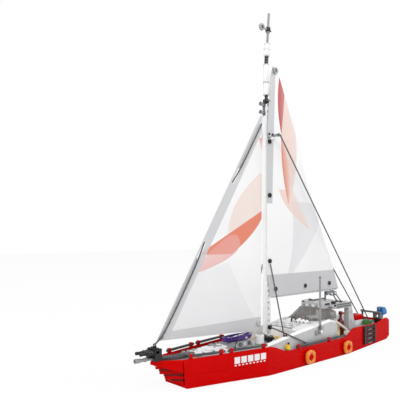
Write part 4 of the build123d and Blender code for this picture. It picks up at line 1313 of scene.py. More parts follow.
@dataclass
class Cabin:
    """Coamings, coachroof, smoked canopy and rolled roof."""

    roof_start: Flat = (3.9, 42.0)
    roof_fall: float = 0.14196
    rolls: tuple[float, ...] = (-75.3, -79.0, -82.7)
    roll_height: float = 69.0

    def build(self) -> None:
        """Build the cabin."""
        for side in ("port", "starboard"):
            # The outer side face of each coaming takes light grey as painted shade; the rest of the coaming
            # is white.
            faces = [Zone(Finish.LIGHT_GREY, (-200, y, 10), (90, y + 0.2, 60)) for y in (33.9, -34.1)]
            FrameFinish(f"coaming_{side}", Finish.WHITE, 0.3, faces).build()
        FrameFinish("coachroof", Finish.WHITE, 0.4).build()
        FrameFinish("windscreen", Finish.SMOKED, 0.5).build()
        self.skylight()
        self.cowl()
        self.canopy_frame()
        FrameFinish("cabin_roof", Finish.LIGHT_GREY, 0.3).build()
        self.roof_gear()

    def roof_height(self, x: float) -> float:
        """The coachroof's height at a place along it."""
        return self.roof_start[1] + self.roof_fall * (self.roof_start[0] - x)

    def skylight(self) -> None:
        """Build the dark skylight grid that lies on the coachroof's slope."""
        lean = math.degrees(math.atan(self.roof_fall))
        shape = Shape("coachroof_skylight")
        middle = (-11.0, 0, self.roof_height(-11.0) + 0.45)
        shape.block(middle, (22.0, 40.0, 0.9), Finish.MID_GREY, 0.3, (0, lean, 0))
        for row in range(3):
            for column in range(6):
                x = -4.4 - row * 6.6
                y = (column - 2.5) * 6.4
                z = self.roof_height(x) + 0.95
                finish = Finish.LIGHT_GREY if (row + column) % 2 else Finish.WHITE
                shape.block((x, y, z), (5.4, 5.4, 0.9), finish, 0.25, (0, lean, 0))
        for side in (1, -1):
            x = -11.0
            shape.block(
                (x, side * 21.4, self.roof_height(x) + 0.9), (24.0, 1.6, 1.8), Finish.WHITE, 0.4, (0, lean, 0)
            )
        shape.piece(Body.HULL, "dark_grey_plastic")

    def cowl(self) -> None:
        """Build the white cowls and the black hook, just before the canopy."""
        x = -30.5
        z = self.roof_height(x)
        shape = Shape("cowl_vent")
        for y, high in ((6.5, 3.2), (13.0, 2.4), (19.5, 2.0)):
            shape.rod((x + 5, y, z + 0.8), (x - 4, y, z + high), 2.6, Finish.WHITE, rounding=0.8)
            shape.turned(
                [(1.6, 0), (1.6, 0.2), (0, 0.2)], (x + 4.9, y, z + 0.9), (1, 0, -0.25), Finish.MID_GREY, 20
            )
        shape.ring((x + 1.0, -1.5, z + 2.0), (0.9, 0.3, 0.2), 3.3, 1.0, Finish.BLACK)
        shape.block((x - 2.0, -9.5, z + 1.4), (8.0, 9.0, 2.8), Finish.WHITE, 1.0, (0, 8, 0))
        for y in (-20.0, 24.5):
            shape.block((x - 4, y, z + 1.2), (9.0, 5.0, 2.4), Finish.LIGHT_GREY, 0.8, (0, 8, 0))
        shape.piece(Body.HULL, "white_plastic")

    def canopy_frame(self) -> None:
        """Build the seams of the smoked canopy."""
        shape = Shape("canopy_seams")
        half = Extent.of("windscreen").high.y
        for side in (1, -1):
            shape.rod(
                (-40.0, side * (half - 0.6), 50.0), (-59.5, side * 5.0, 60.1), 0.35, Finish.MID_GREY,
                rounding=0.1
            )
            shape.block((-66.2, side * (half + 0.05), 56.0), (0.7, 0.3, 14.0), Finish.MID_GREY, 0.1)
            shape.block((-77.0, side * (half + 0.1), 62.8), (21.0, 0.5, 1.0), Finish.MID_GREY, 0.2)
        shape.piece(Body.HULL, "light_grey_plastic")

    def roof_gear(self) -> None:
        """Build the pin ends of the rolled roof and the pale studs on its front."""
        box = Extent.of("cabin_roof")
        shape = Shape("roof_gear")
        for x in self.rolls:
            for side in (1, -1):
                start = (x, side * (box.high.y - 0.5), self.roll_height)
                end = (x, side * (box.high.y + 0.7), self.roll_height)
                shape.rod(start, end, 1.6, Finish.BLACK)
        for index in range(6):
            y = (index - 2.5) * 5.6
            finish = Finish.WHITE if index % 2 else Finish.MID_GREY
            shape.rod((-70.0, y, 65.8), (-68.9, y, 65.8), 1.9, finish)
        for y in (-13.0, -4.5, 4.5, 13.0):
            shape.rod((-73.4, y - 1.6, 70.6), (-73.4, y + 1.6, 70.6), 1.2, Finish.WHITE)
        shape.rod((-73.0, -17.5, 69.4), (-70.6, -17.5, 69.4), 1.7, Finish.BLACK)
        shape.piece(Body.HULL, "black_plastic")


@dataclass
class Cockpit:
    """The helm, the seats, the bottle and the after arch."""

    floor: float = 19.2
    wheel: Point = (-57.5, 0.0, 42.0)
    wheel_radius: float = 7.6

    def build(self) -> None:
        """Build the cockpit."""
        FrameFinish("helm_console", Finish.DARK_GREY, 0.4).build()
        FrameFinish("seats", Finish.CREAM, 0.4).build()
        FrameFinish("gas_bottle", Finish.BROWN, 0.3).build()
        self.steering_wheel()
        self.seat_trim()
        slats = [Zone(Finish.DARK_GREY, (-134, y, 61), (-96, y + 1.2, 68.2)) for y in (25.1, -26.3)]
        # A dark grey strip along the middle of the arch's top, under the boom.
        top_middle_strip = Zone(Finish.DARK_GREY, (-110, -2, 70.5), (-60, 2, 86))
        FrameFinish("arch", Finish.LIGHT_GREY, 0.3, (*slats, top_middle_strip)).build()
        self.arch_gear()

    def steering_wheel(self) -> None:
        """Build the wheel on the after side of the console."""
        x, y, z = self.wheel
        shape = Shape("steering_wheel")
        shape.rod((x + 6, y, z - 2), (x, y, z), 1.2, Finish.BLACK)
        shape.ring((x, y, z), (1, 0, 0.3), self.wheel_radius - 1, 0.8, Finish.BLACK)
        for index in range(3):
            angle = math.tau * index / 3
            tip = Vector(
                (0.3 * math.sin(angle) * -1, math.cos(angle), math.sin(angle))
            ) * (self.wheel_radius - 1)
            shape.rod((x, y, z), tuple(Vector((x, y, z)) + tip), 0.6, Finish.BLACK)
        shape.piece(Body.HULL, "black_plastic")

    def seat_trim(self) -> None:
        """Build the dark red cushions, the cream rests and the locker tops by the seats."""
        shape = Shape("seat_trim")
        for side in (1, -1):
            shape.block((-96.0, side * 16, 29.5), (13.0, 12.6, 1.4), Finish.DEEP_RED, 0.5)
            shape.block((-103.0, side * 16, 39.2), (3.0, 13.4, 1.4), Finish.DEEP_RED, 0.4)
            shape.block((-103.0, side * 27.6, 36.6), (36.0, 3.6, 3.4), Finish.SAND, 0.7, (0, -28, 0))
            shape.block((-92.0, side * 26.6, 24.0), (10.0, 6.0, 9.0), Finish.CREAM, 0.7)
        shape.block((-115.5, 31.5, 24.0), (9.0, 9.0, 7.0), Finish.WHITE, 0.8)
        shape.block((-114.5, -31.0, 29.0), (11.0, 8.0, 18.0), Finish.WHITE, 0.8)
        shape.piece(Body.HULL, "dark_red_plastic")

    def arch_gear(self) -> None:
        """Build the blocks of the sheets, the lamps and the pin ends on the arch."""
        shape = Shape("arch_gear")
        for y in (10.5, 17.5):
            shape.block((-118.5, y, 69.1), (4.6, 3.6, 1.8), Finish.BLACK, 0.4)
        for y in (-21.0, 21.0):
            shape.rod((-94.0, y - 3.0, 70.0), (-94.0, y + 3.0, 70.0), 1.9, Finish.BLACK)
            shape.turned(
                [(2.4, 0), (2.4, 2.0), (1.9, 2.6), (0, 2.6)], (-128, y, 68.2), (0, 0, 1), Finish.WHITE, 24
            )
        shape.turned(
            [(3.0, 0), (3.0, 1.3), (2.2, 1.8), (0, 1.8)], (-103.3, 0, 68.3), (0, 0, 1), Finish.LIGHT_GREY
        )
        for side in (1, -1):
            shape.rod((-92.0, side * 24.0, 66.0), (-92.0, side * 26.0, 66.0), 1.9, Finish.BLACK)
            for z in (40.0, 54.0):
                shape.pin_head(-133.5, side * 24.9, z, side, Finish.LIGHT_GREY, 2.4)
        shape.piece(Body.HULL, "light_grey_plastic")


# ---------------------------------------------------------------- stern


@dataclass
class Stern:
    """The pushpit, the lockers and the tilting outboard."""

    pivot: Point = (-225.0, 17.0, 39.5)

    def build(self) -> None:
        """Build the stern gear."""
        FrameFinish("pushpit", Finish.DARK_GREY, 0.3).build()
        FrameFinish("outboard_bracket", Finish.DARK_GREY, 0.3).build()
        self.lockers()
        self.rail_fittings()
        self.outboard()

    def lockers(self) -> None:
        """Build the red fuel box, the green crate and the white locker with their trim."""
        shape = Shape("stern_lockers")
        shape.block((-166.0, 12.0, 32.6), (19.6, 13.6, 7.6), Finish.WHITE, 0.6)
        shape.block((-166.0, 12.0, 40.4), (20.6, 14.6, 8.0), Finish.RED, 0.8)
        shape.rod((-162.0, 12.0, 44.2), (-170.0, 12.0, 44.2), 1.0, Finish.DEEP_RED)
        shape.block((-180.0, 24.0, 31.2), (15.6, 8.6, 4.8), Finish.GREEN, 0.6)
        for x in (-176.0, -184.0):
            shape.stud(x, 24.0, 33.2, Finish.GREEN)
        shape.block((-181.0, 20.2, 34.6), (11.0, 1.4, 1.6), Finish.GREEN, 0.4, (0, 0, 12))
        shape.block((-165.5, -24.0, 34.3), (27.6, 13.6, 10.8), Finish.WHITE, 0.8)
        shape.piece(Body.HULL, "red_plastic", ["stern_boxes"])

    def rail_fittings(self) -> None:
        """Build the sockets, knuckles and dark clamps of the stern rail."""
        shape = Shape("pushpit_sockets")
        for y in (-2.0, 28.0):
            shape.turned(
                [(2.9, 0), (2.9, 2.6), (2.2, 3.2), (2.2, 4.4), (1.6, 4.6)], (-210.0, y, 28.8), (0, 0, 1),
                Finish.BLACK, 24
            )
            knuckle = [(0, -2.6), (1.8, -2.2), (2.4, -0.8), (2.4, 0.8), (1.8, 2.2), (0, 2.6)]
            shape.turned(knuckle, (-210.0, y, 44.0), (0, 1, 0), Finish.DARK_GREY, 24)
        shape.block((-200.0, 30.5, 33.0), (9.0, 5.0, 8.0), Finish.BLACK, 0.6)
        shape.block((-196.0, -12.0, 31.8), (5.0, 5.0, 3.0), Finish.BLACK, 0.5)
        shape.rod((-205.0, 30.5, 36.6), (-188.0, 32.5, 38.2), 1.4, Finish.BLACK)
        shape.piece(Body.HULL, "black_plastic")

    def outboard(self) -> None:
        """Build the outboard: cowl, ring, tiller, leg and propeller."""
        x, y, z = self.pivot
        shape = Shape("outboard_engine")
        profile = [
            (x - 6.2, z - 3.2), (x - 19.8, z - 1.6), (x - 19.8, z + 4.6), (x - 14.5, z + 10.3),
            (x - 6.6, z + 10.3)
        ]
        shape.prism(profile, y - 5.8, y + 5.8, Axis.Y, Finish.BLUE, 1.4)
        shape.block((x - 13, y, z + 0.6), (13.4, 11.9, 1.0), Finish.DEEP_BLUE, 0.3, (0, 6, 0))
        shape.block((x - 6.6, y, z + 5.6), (1.2, 7.0, 6.0), Finish.DEEP_BLUE, 0.3)
        shape.ring((x - 4.8, y + 1.0, z + 8.6), (0, 1, 0), 2.2, 0.8, Finish.MID_GREY)
        shape.prism(
            [(x + 1.4, z + 2.4), (x - 10, z + 2.4), (x - 10, z - 2.4), (x + 1.4, z - 2.4)],
            y + 1.7, y + 2.7, Axis.Y, Finish.MID_GREY, 0.4,
        )
        shape.prism(
            [(x + 1.4, z + 2.4), (x - 10, z + 2.4), (x - 10, z - 2.4), (x + 1.4, z - 2.4)],
            y - 2.7, y - 1.7, Axis.Y, Finish.MID_GREY, 0.4,
        )
        leg = [(x - 10.6, z - 2), (x - 15.4, z - 2), (x - 15.0, z - 20), (x - 12.0, z - 20)]
        shape.prism(leg, y - 1.6, y + 1.6, Axis.Y, Finish.MID_GREY, 0.7)
        shape.block((x - 13.6, y, z - 15.6), (9.5, 6.6, 0.9), Finish.MID_GREY, 0.3)
        pod = [(0, 0), (1.6, 0.8), (2.3, 2.6), (2.3, 6.4), (1.5, 8.6), (1.2, 8.8)]
        shape.turned(pod, (x - 10.6, y, z - 21.6), (-1, 0, 0), Finish.MID_GREY, 24)
        shape.rod((x - 19.0, y, z - 21.6), (x - 19.9, y, z - 21.6), 1.2, Finish.BLACK)
        for index in range(3):
            angle = 120 * index + 20
            reach = Vector((0, math.cos(math.radians(angle)), math.sin(math.radians(angle)))) * 1.9
            place = (x - 18.6, y + reach.y, z - 21.6 + reach.z)
            shape.block(place, (0.5, 2.6, 1.7), Finish.BLACK, 0.2, (angle, 0, 0))
        shape.piece(Body.OUTBOARD, "blue_plastic", ["outboard"])


# ---------------------------------------------------------------- mast and boom


@dataclass
class Mast:
    """The beam mast, the sleeves and joints of the topmast, the fittings and the vane."""

    x: float = 29.0
    half: float = 3.9
    sleeve_top: float = 400.0
    rake: float = 4.5
    vane_height: float = 448.0
    spreader_height: float = 303.0
    cone_heights: tuple[float, ...] = (344.0, 333.0)

    def build(self) -> None:
        """Build the mast."""
        FrameFinish("mast_beam", Finish.WHITE, 0.3).build()
        FrameFinish("mast_joints", Finish.BLACK, 0.25).build()
        FrameFinish("mast_sleeves", Finish.WHITE, 0.35).build()
        FrameFinish("mast_rod", Finish.MID_GREY, 0.2).build()
        self.sleeve_bands()
        self.fittings()
        self.vane()

    def raked(self, height: float, forward: float = 0.0, side: float = 0.0) -> Point:
        """A place beside the raked topmast.

        Args:
            height: The height on its axis.
            forward: How far ahead of the axis it is.
            side: How far to port.

        Returns:
            The place in millimetres.
        """
        lean = math.radians(self.rake)
        rise = height - self.sleeve_top
        x = self.x - rise * math.tan(lean) + forward * math.cos(lean)
        return (x, side, height + forward * math.sin(lean))

    def sleeve_bands(self) -> None:
        """Build the collars where the mast's sleeves meet, and their slots."""
        shape = Shape("mast_sleeve_bands")
        for z in (358.6, 374.4, 375.8, 399.4):
            shape.ring((self.x, 0, z), (0, 0, 1), 3.9, 0.45, Finish.LIGHT_GREY)
        for z in (345.6, 353.2, 356.6):
            shape.ring((self.x, 0, z), (0, 0, 1), 3.9 if z < 350 else 2.0, 0.5, Finish.BLACK)
        up = (-math.sin(math.radians(self.rake)), 0, math.cos(math.radians(self.rake)))
        for height in (411.8, 420.0, 428.2):
            shape.ring(self.raked(height), up, 3.9, 0.45, Finish.LIGHT_GREY)
        for height in (403.5, 407.0, 410.2):
            shape.ring(self.raked(height), up, 2.4, 0.5, Finish.DARK_GREY)
        shape.piece(Body.HULL, "black_plastic")

    def fittings(self) -> None:
        """Build the cones, clips, spreader and pins on the mast."""
        shape = Shape("mast_clips_and_spreader")
        front = self.x + self.half
        for z in self.cone_heights:
            profile = [
                (1.3, -0.6), (1.3, 2.0), (1.7, 2.4), (2.7, 6.2), (2.8, 7.2), (2.2, 7.4), (1.4, 4.0), (0, 4.0)
            ]
            shape.turned(profile, (front + 0.8, 0, z), (1, 0, 0.15), Finish.MID_GREY, 28)
            shape.block((front + 0.9, 0, z), (1.6, 4.4, 4.4), Finish.DARK_GREY, 0.4)
        shape.block((front + 0.6, 0, 338.0), (1.0, 2.8, 16.0), Finish.DARK_GREY, 0.3)
        z = self.spreader_height
        shape.block((23.0, 0, z), (3.9, 34.6, 3.0), Finish.MID_GREY, 0.6)
        for side in (1, -1):
            shape.rod((23.0, side * 15.6, z), (23.0, side * 17.5, z), 2.4, Finish.DARK_GREY, rounding=0.5)
            shape.rod((20.9, side * 16.5, z), (19.5, side * 16.5, z), 1.2, Finish.BLACK)
        shape.block((self.x, -self.half - 1.6, z), (12.0, 3.0, 8.0), Finish.MID_GREY, 0.6)
        shape.block((self.x - 1.0, self.half + 2.7, z + 1.0), (10.0, 2.2, 6.4), Finish.LIGHT_GREY, 0.6)
        for x in (25.6, 32.0):
            shape.pin_head(x, self.half + 3.6, z + 1.2, 1, Finish.BLACK, 1.5)
        for height in (324.0, 329.0, 318.0):
            shape.pin_head(self.x, self.half - 0.4, height, 1, Finish.MID_GREY, 2.6)
        shape.block((self.x, self.half + 1.0, 350.0), (5.0, 1.0, 2.0), Finish.DARK_GREY, 0.3)
        shape.piece(Body.HULL, "dark_grey_plastic", ["mast_fittings"])

    def vane(self) -> None:
        """Build the wind vane on the masthead bar: hub, arm, disc and stub."""
        lean = math.radians(self.rake)
        up, ahead = (-math.sin(lean), 0, math.cos(lean)), Vector((math.cos(lean), 0, math.sin(lean)))
        hub = Vector(self.raked(self.vane_height))
        shape = Shape("wind_vane_assembly")
        profile = [
            (1.75, -2.4), (3.2, -2.4), (3.5, -2.0), (3.5, -0.6), (3.0, -0.3), (3.0, 0.3), (3.5, 0.6),
            (3.5, 2.0)
        ]
        shape.turned(profile + [(3.2, 2.4), (1.75, 2.4)], tuple(hub), up, Finish.BLACK)
        shape.rod(tuple(hub + ahead * 3.0), tuple(hub + ahead * 9.0), 1.2, Finish.MID_GREY)
        disc = hub + ahead * 12.4
        ring = [
            (0, -1.3), (2.2, -1.3), (2.4, -1.55), (4.3, -1.55), (4.6, -1.2), (4.6, 1.2), (4.3, 1.55),
            (2.4, 1.55)
        ]
        shape.turned(ring + [(2.2, 1.3), (0, 1.3)], tuple(disc), (0, 1, 0), Finish.MID_GREY, 40)
        for side in (1, -1):
            start = disc + Vector((0, side * 1.2, 0))
            shape.turned(
                [(2.1, 0), (2.1, 0.5), (1.6, 0.7), (0, 0.7)], tuple(start), (0, side, 0), Finish.BLACK, 28
            )
        shape.block(tuple(hub - ahead * 4.8), (3.2, 1.6, 1.8), Finish.BLACK, 0.4, (0, -self.rake, 0))
        shape.piece(Body.VANE, "black_plastic", ["wind_vane"])


@dataclass
class Boom:
    """The boom beam, its pins, its pulleys and the two lines of the mainsheet."""

    height: float = 88.9
    pulleys: tuple[float, ...] = (-112.6, -121.6)
    falls: tuple[tuple[Point, Point], ...] = (
        ((-118.5, 10.5, 69.4), (-117.1, 0.0, 83.8)),
        ((-118.5, 17.5, 69.4), (-125.0, 0.0, 83.8)),
    )

    def build(self) -> None:
        """Build the boom."""
        FrameFinish("boom", Finish.PALE, 0.3).build()
        FrameFinish("boom_pins", Finish.BLACK, 0.25).build()
        self.blocks()
        for index, (foot, top) in enumerate(self.falls, 1):
            self.fall(f"mainsheet_fall_{index}", Vector(foot), Vector(top))

    def blocks(self) -> None:
        """Build the pulleys under the boom's end and the trim along it."""
        shape = Shape("boom_pulleys")
        wheel = [
            (0, -1.5), (1.0, -1.5), (1.2, -1.1), (2.7, -1.1), (3.3, -1.5), (3.3, -1.2), (2.6, -0.5),
            (2.6, 0.5)
        ]
        wheel += [(3.3, 1.2), (3.3, 1.5), (2.7, 1.1), (1.2, 1.1), (1.0, 1.5), (0, 1.5)]
        for x in self.pulleys:
            for y in (4.4, -4.4):
                shape.turned(wheel, (x, y, self.height - 8.6), (0, 1, 0), Finish.MID_GREY)
                shape.rod(
                    (x, y, self.height - 8.6), (x, y + math.copysign(2.0, y), self.height - 8.6), 1.5,
                    Finish.WHITE
                )
            shape.block((x, 0, self.height - 6.6), (2.4, 5.6, 6.0), Finish.LIGHT_GREY, 0.4)
        for x in (9.1, -78.9, -110.9):
            shape.pin_head(x, 3.0, self.height, 1, Finish.DARK_GREY, 2.7)
            shape.pin_head(x, -3.0, self.height, -1, Finish.DARK_GREY, 2.7)
        for x in (-47.3, -106.0):
            for side in (1, -1):
                shape.block((x, side * 3.95, self.height + 5.2), (6.0, 0.5, 3.0), Finish.MID_GREY, 0.2)
        shape.piece(Body.BOOM, "light_grey_plastic")

    def fall(self, name: str, start: Vector, end: Vector) -> None:
        """Build one straight line between the arch and the boom.

        Args:
            name: The piece's name.
            start: Its place on the arch.
            end: Its place under the boom.
        """
        shape = Shape(name)
        steps = 12
        rings = []
        along = (end - start).normalized()
        side = along.orthogonal().normalized()
        out = side.cross(along)
        for step in range(steps + 1):
            middle = start.lerp(end, step / steps)
            angles = [math.tau * k / 16 for k in range(16)]
            rings.append([tuple(middle + (side * math.cos(a) + out * math.sin(a)) * 0.9) for a in angles])
        shape.loft(rings, Finish.CORD)
        fall = shape.piece(None, "stay_cord", ["mainsheet"], weighted=False)
        tuple(raised(start))
        tuple(raised(end))
        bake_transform(fall)


# ---------------------------------------------------------------- sails


@dataclass(frozen=True)
class Opening:
    """A round or long hole through a sail."""

    x: float
    z: float
    radius: float
    length: float = 0.0
    angle: float = 0.0


@dataclass
class Sail:
    """One sail of printed foil, cut from a flat outline and slightly bellied."""

    name: str
    node: str
    body: Body
    outline: tuple[Flat, ...]
    middle: float
    belly: float
    foil: SailFoil
    openings: tuple[Opening, ...] = ()
    notch: Optional[tuple[float, float, float]] = None
    thickness: float = 0.4
    columns: int = 44
    rise: float = 5.0

    def span(self, z: float) -> tuple[float, float]:
        """The sail's after and forward limits at a height."""
        crossings = []
        for (x1, z1), (x2, z2) in zip(self.outline, self.outline[1:] + self.outline[:1]):
            if min(z1, z2) <= z <= max(z1, z2):
                if abs(z2 - z1) < 1e-6:
                    crossings += [x1, x2]
                else:
                    crossings.append(x1 + (x2 - x1) * (z - z1) / (z2 - z1))
        after, forward = min(crossings), max(crossings)
        if self.notch and self.notch[0] < z < self.notch[1]:
            forward = self.notch[2]
        return after, forward

    def heights(self) -> list[float]:
        """The heights of the mesh's rows."""
        corners = {z for _, z in self.outline}
        if self.notch:
            low, high, _ = self.notch
            corners |= {low, low + 0.02, high - 0.02, high}
        low, high = min(corners), max(corners)
        count = int((high - low) / self.rise)
        even = {low + (high - low) * k / count for k in range(count + 1)}
        kept = {z for z in even if all(abs(z - corner) > 0.6 for corner in corners)}
        return sorted(kept | corners)

    def area(self) -> float:
        """The area of the flat outline in square millimetres."""
        pairs = zip(self.outline, self.outline[1:] + self.outline[:1])
        return abs(sum(x1 * z2 - x2 * z1 for (x1, z1), (x2, z2) in pairs)) / 2

    def surface(self) -> bpy.types.Object:
        """Build the bellied surface, one row of quads for each height."""
        mesh = bmesh.new()
        low, high = min(z for _, z in self.outline), max(z for _, z in self.outline)
        rows = []
        for z in self.heights():
            after, forward = self.span(z)
            row = []
            for k in range(self.columns + 1):
                u = k / self.columns
                v = (z - low) / (high - low)
                y = self.middle + self.belly * math.sin(math.pi * u) ** 1.2 * math.sin(math.pi * v ** 0.7)
                row.append(mesh.verts.new(raised((after + (forward - after) * u, y, z))))
            rows.append(row)
        for lower, upper in zip(rows, rows[1:]):
            for k in range(self.columns):
                mesh.faces.new([lower[k], lower[k + 1], upper[k + 1], upper[k]])
        bmesh.ops.remove_doubles(mesh, verts=mesh.verts, dist=0.02 * MM)
        bmesh.ops.recalc_face_normals(mesh, faces=mesh.faces)
        data = bpy.data.meshes.new(self.name)
        mesh.to_mesh(data)
        mesh.free()
        sail = bpy.data.objects.new(self.name, data)
        bpy.context.scene.collection.objects.link(sail)
        solid = sail.modifiers.new("thickness", "SOLIDIFY")
        solid.thickness = self.thickness * MM
        solid.offset = 0
        return sail

    def cutter(self) -> bpy.types.Object:
        """Build the prisms that cut the sail's openings."""
        shape = Shape(f"{self.name}_cutter")
        for hole in self.openings:
            turn = math.radians(hole.angle)
            reach = Vector((math.cos(turn), math.sin(turn))) * hole.length / 2
            ring = []
            for k in range(32):
                angle = math.tau * k / 32 + turn
                out = Vector((math.cos(angle), math.sin(angle)))
                shift = reach if math.cos(angle - turn) > 0 else -reach
                ring.append((hole.x + out.x * hole.radius + shift.x, hole.z + out.y * hole.radius + shift.y))
            shape.prism(ring, self.middle - 6, self.middle + 6, Axis.Y, Finish.WHITE, 0)
        shape.mesh.transform(RAISE)
        data = bpy.data.meshes.new(shape.name)
        shape.mesh.to_mesh(data)
        shape.mesh.free()
        tool = bpy.data.objects.new(shape.name, data)
        bpy.context.scene.collection.objects.link(tool)
        return tool

    def build(self) -> None:
        sail, tool = self.surface(), self.cutter()
        cut = sail.modifiers.new("openings", "BOOLEAN")
        cut.operation, cut.solver, cut.object = "DIFFERENCE", "EXACT", tool
        bpy.context.view_layer.update()
        graph = bpy.context.evaluated_depsgraph_get()
        data = bpy.data.meshes.new_from_object(sail.evaluated_get(graph))
        data.name = self.name
        sail.modifiers.clear()
        sail.data = data
        bpy.data.objects.remove(tool)
        data.materials.clear()
        data.materials.append(self.foil.material())
        data.polygons.foreach_set("material_index", [0] * len(data.polygons))
        data.polygons.foreach_set("use_smooth", [True] * len(data.polygons))
        data.set_sharp_from_angle(angle=math.radians(50))
        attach(sail, self.body.value)
        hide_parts(self.node)
        xs, zs = [x for x, _ in self.outline], [z for _, z in self.outline]
        flat = ((max(xs) - min(xs)) * MM, (max(zs) - min(zs)) * MM)
        self.area() * MM * MM
        LOG.info("%s: %.0f x %.0f mm", self.name, flat[0] / MM, flat[1] / MM)


@dataclass
class Sails:
    """The mainsail and the jib, with their eyelets and corner studs."""

    side: float = 4.9
    boom_pins: tuple[float, ...] = (17.1, -47.3, -106.0)
    boom_pin_height: float = 96.9
    mast: float = 29.0
    mast_pins: tuple[float, ...] = (134.8, 222.8, 294.8)
    band: tuple[float, float, float, float] = rgba(200, 201, 203)
    rose: tuple[float, float, float, float] = rgba(232, 168, 160)
    coral: tuple[float, float, float, float] = rgba(228, 134, 108)
    brick: tuple[float, float, float, float] = rgba(186, 66, 66)
    mist: tuple[float, float, float, float] = rgba(222, 222, 225)
    peach: tuple[float, float, float, float] = rgba(234, 208, 196)

    def build(self) -> None:
        """Build both sails."""
        self.mainsail()
        self.jib()
        self.studs()

    def mainsail(self) -> None:
        """Build the mainsail, which rides on the boom."""
        wide = 200.0
        ribbons = (
            Ribbon(Edge(-9, -0.33, 0.0026), Edge(-20, -1.0, 0.0013), 116, 216, self.mist, 0.75, 0.7),
            Ribbon(Edge(-56, 2.2, -0.018), Edge(-56, 0.5, 0.0035), 178, 232, self.peach, 0.9, 0.6),
            Ribbon(Edge(-9.2, 0.36, -0.0022), Edge(-9.2, -0.5, 0.0032), 212, 366, self.peach, 0.95, 0.75),
            Ribbon(Edge(-9.2, 0.36, -0.0022), Edge(-9.2, -0.24, 0.0041), 212, 308, self.coral, 0.95, 0.1),
            Ribbon(Edge(5, 0.3, -0.0033), Edge(5, -0.15, 0.0), 307, 386, self.brick, 1.0, 0.8),
            Ribbon(Edge(wide, 0, 0), Edge(23.0, -0.0207, -0.00011), 212, 399, self.band, 1.0, 1.0),
            Ribbon(Edge(wide, 0, 0), Edge(-wide, 0, 0), 80, 116.5, self.band, 1.0, 1.0),
        )
        holes = [Opening(x, self.boom_pin_height, 2.9) for x in self.boom_pins]
        holes += [Opening(self.mast, z, 2.9) for z in self.mast_pins]
        Sail(
            "mainsail_foil", "mainsail", Body.BOOM,
            ((27.0, 87.0), (-130.0, 87.6), (-116.7, 119.4), (-87.5, 175.3), (-51.0, 248.1), (-30.9, 303.9),
             (7.3, 385.2), (21.4, 398.4), (26.0, 385.0), (33.6, 297.0), (33.6, 118.0)),
            self.side, 1.6,
            SailFoil("mainsail_print", ribbons, Edge(-wide, 0, 0), 0, 1),
            tuple(holes), notch=(299.2, 306.8, 19.6),
        ).build()

    def jib(self) -> None:
        """Build the jib, which is fixed to the stem and the mast."""
        wide = 400.0
        ribbons = (
            Ribbon(Edge(wide, 0, 0), Edge(54, 0.7, -0.0012), 60, 137, self.mist, 0.22, 0.3),
            Ribbon(Edge(96, 0.4, -0.0086), Edge(94, -1.75, 0.0117), 146, 256, self.peach, 0.62, 0.9),
            Ribbon(Edge(150, -2.0, 0.0), Edge(94, -1.75, 0.0117), 146, 210, self.coral, 0.95, 1.6),
            Ribbon(Edge(151, -0.4, -0.019), Edge(146, -4.0, 0.06), 126, 170, self.rose, 0.62, 1.2),
            Ribbon(Edge(28, 0.38, 0.0), Edge(-10, 0, 0), 256, 299, self.rose, 0.75, 1.0),
            Ribbon(Edge(wide, 0, 0), Edge(193.5, -0.612, 0.0), 53, 331, self.band, 0.85, 1.0),
            Ribbon(Edge(wide, 0, 0), Edge(-wide, 0, 0), 40, 61.5, self.band, 0.85, 1.0),
        )
        slots = [Opening(x, z, 2.1, 19.2, -58.3) for x, z in ((144.5, 151.2), (86.3, 244.6))]
        Sail(
            "jib_foil", "jib", Body.HULL,
            ((209.5, 53.0), (40.5, 44.0), (37.4, 328.0), (40.0, 330.0)),
            0.0, 0.0,
            SailFoil("jib_print", ribbons, Edge(54, 0.7, -0.0012), 61.5, 140),
            tuple(slots),
        ).build()

    def studs(self) -> None:
        """Build the round stud at the jib's clew and the pulley at the mainsail's head."""
        clew = Shape("jib_clew_stud")
        profile = [(3.4, 0), (3.7, 0.6), (3.7, 1.6), (3.1, 2.1), (1.6, 2.1), (1.4, 1.4), (0, 1.4)]
        for side in (1, -1):
            clew.turned(profile, (45.6, side * 0.3, 54.0), (0, side, 0), Finish.LIGHT_GREY)
            clew.turned(
                [(1.9, 0), (1.9, 0.9), (1.4, 1.2), (0, 1.2)], (202.5, side * 0.3, 56.5), (0, side, 0),
                Finish.MID_GREY, 24
            )
        clew.piece(Body.HULL, "light_grey_plastic")
        head = Shape("mainsail_head_pulley")
        wheel = [
            (0, 0), (4.2, 0), (4.5, 0.5), (3.7, 1.1), (3.7, 1.7), (4.5, 2.3), (4.2, 2.8), (2.0, 2.8),
            (1.7, 2.1), (0, 2.1)
        ]
        head.turned(wheel, (17.6, self.side + 0.2, 392.6), (0, 1, 0), Finish.MID_GREY)
        head.turned(
            [(1.6, 0), (1.6, 0.7), (0, 0.7)], (17.6, self.side + 2.4, 392.6), (0, 1, 0), Finish.BLACK, 24
        )
        head.turned(
            [(2.6, 0), (2.6, 1.0), (0, 1.0)], (17.6, self.side - 0.3, 392.6), (0, -1, 0), Finish.LIGHT_GREY,
            24
        )
        head.piece(Body.BOOM, "light_grey_plastic")


# ---------------------------------------------------------------- lines


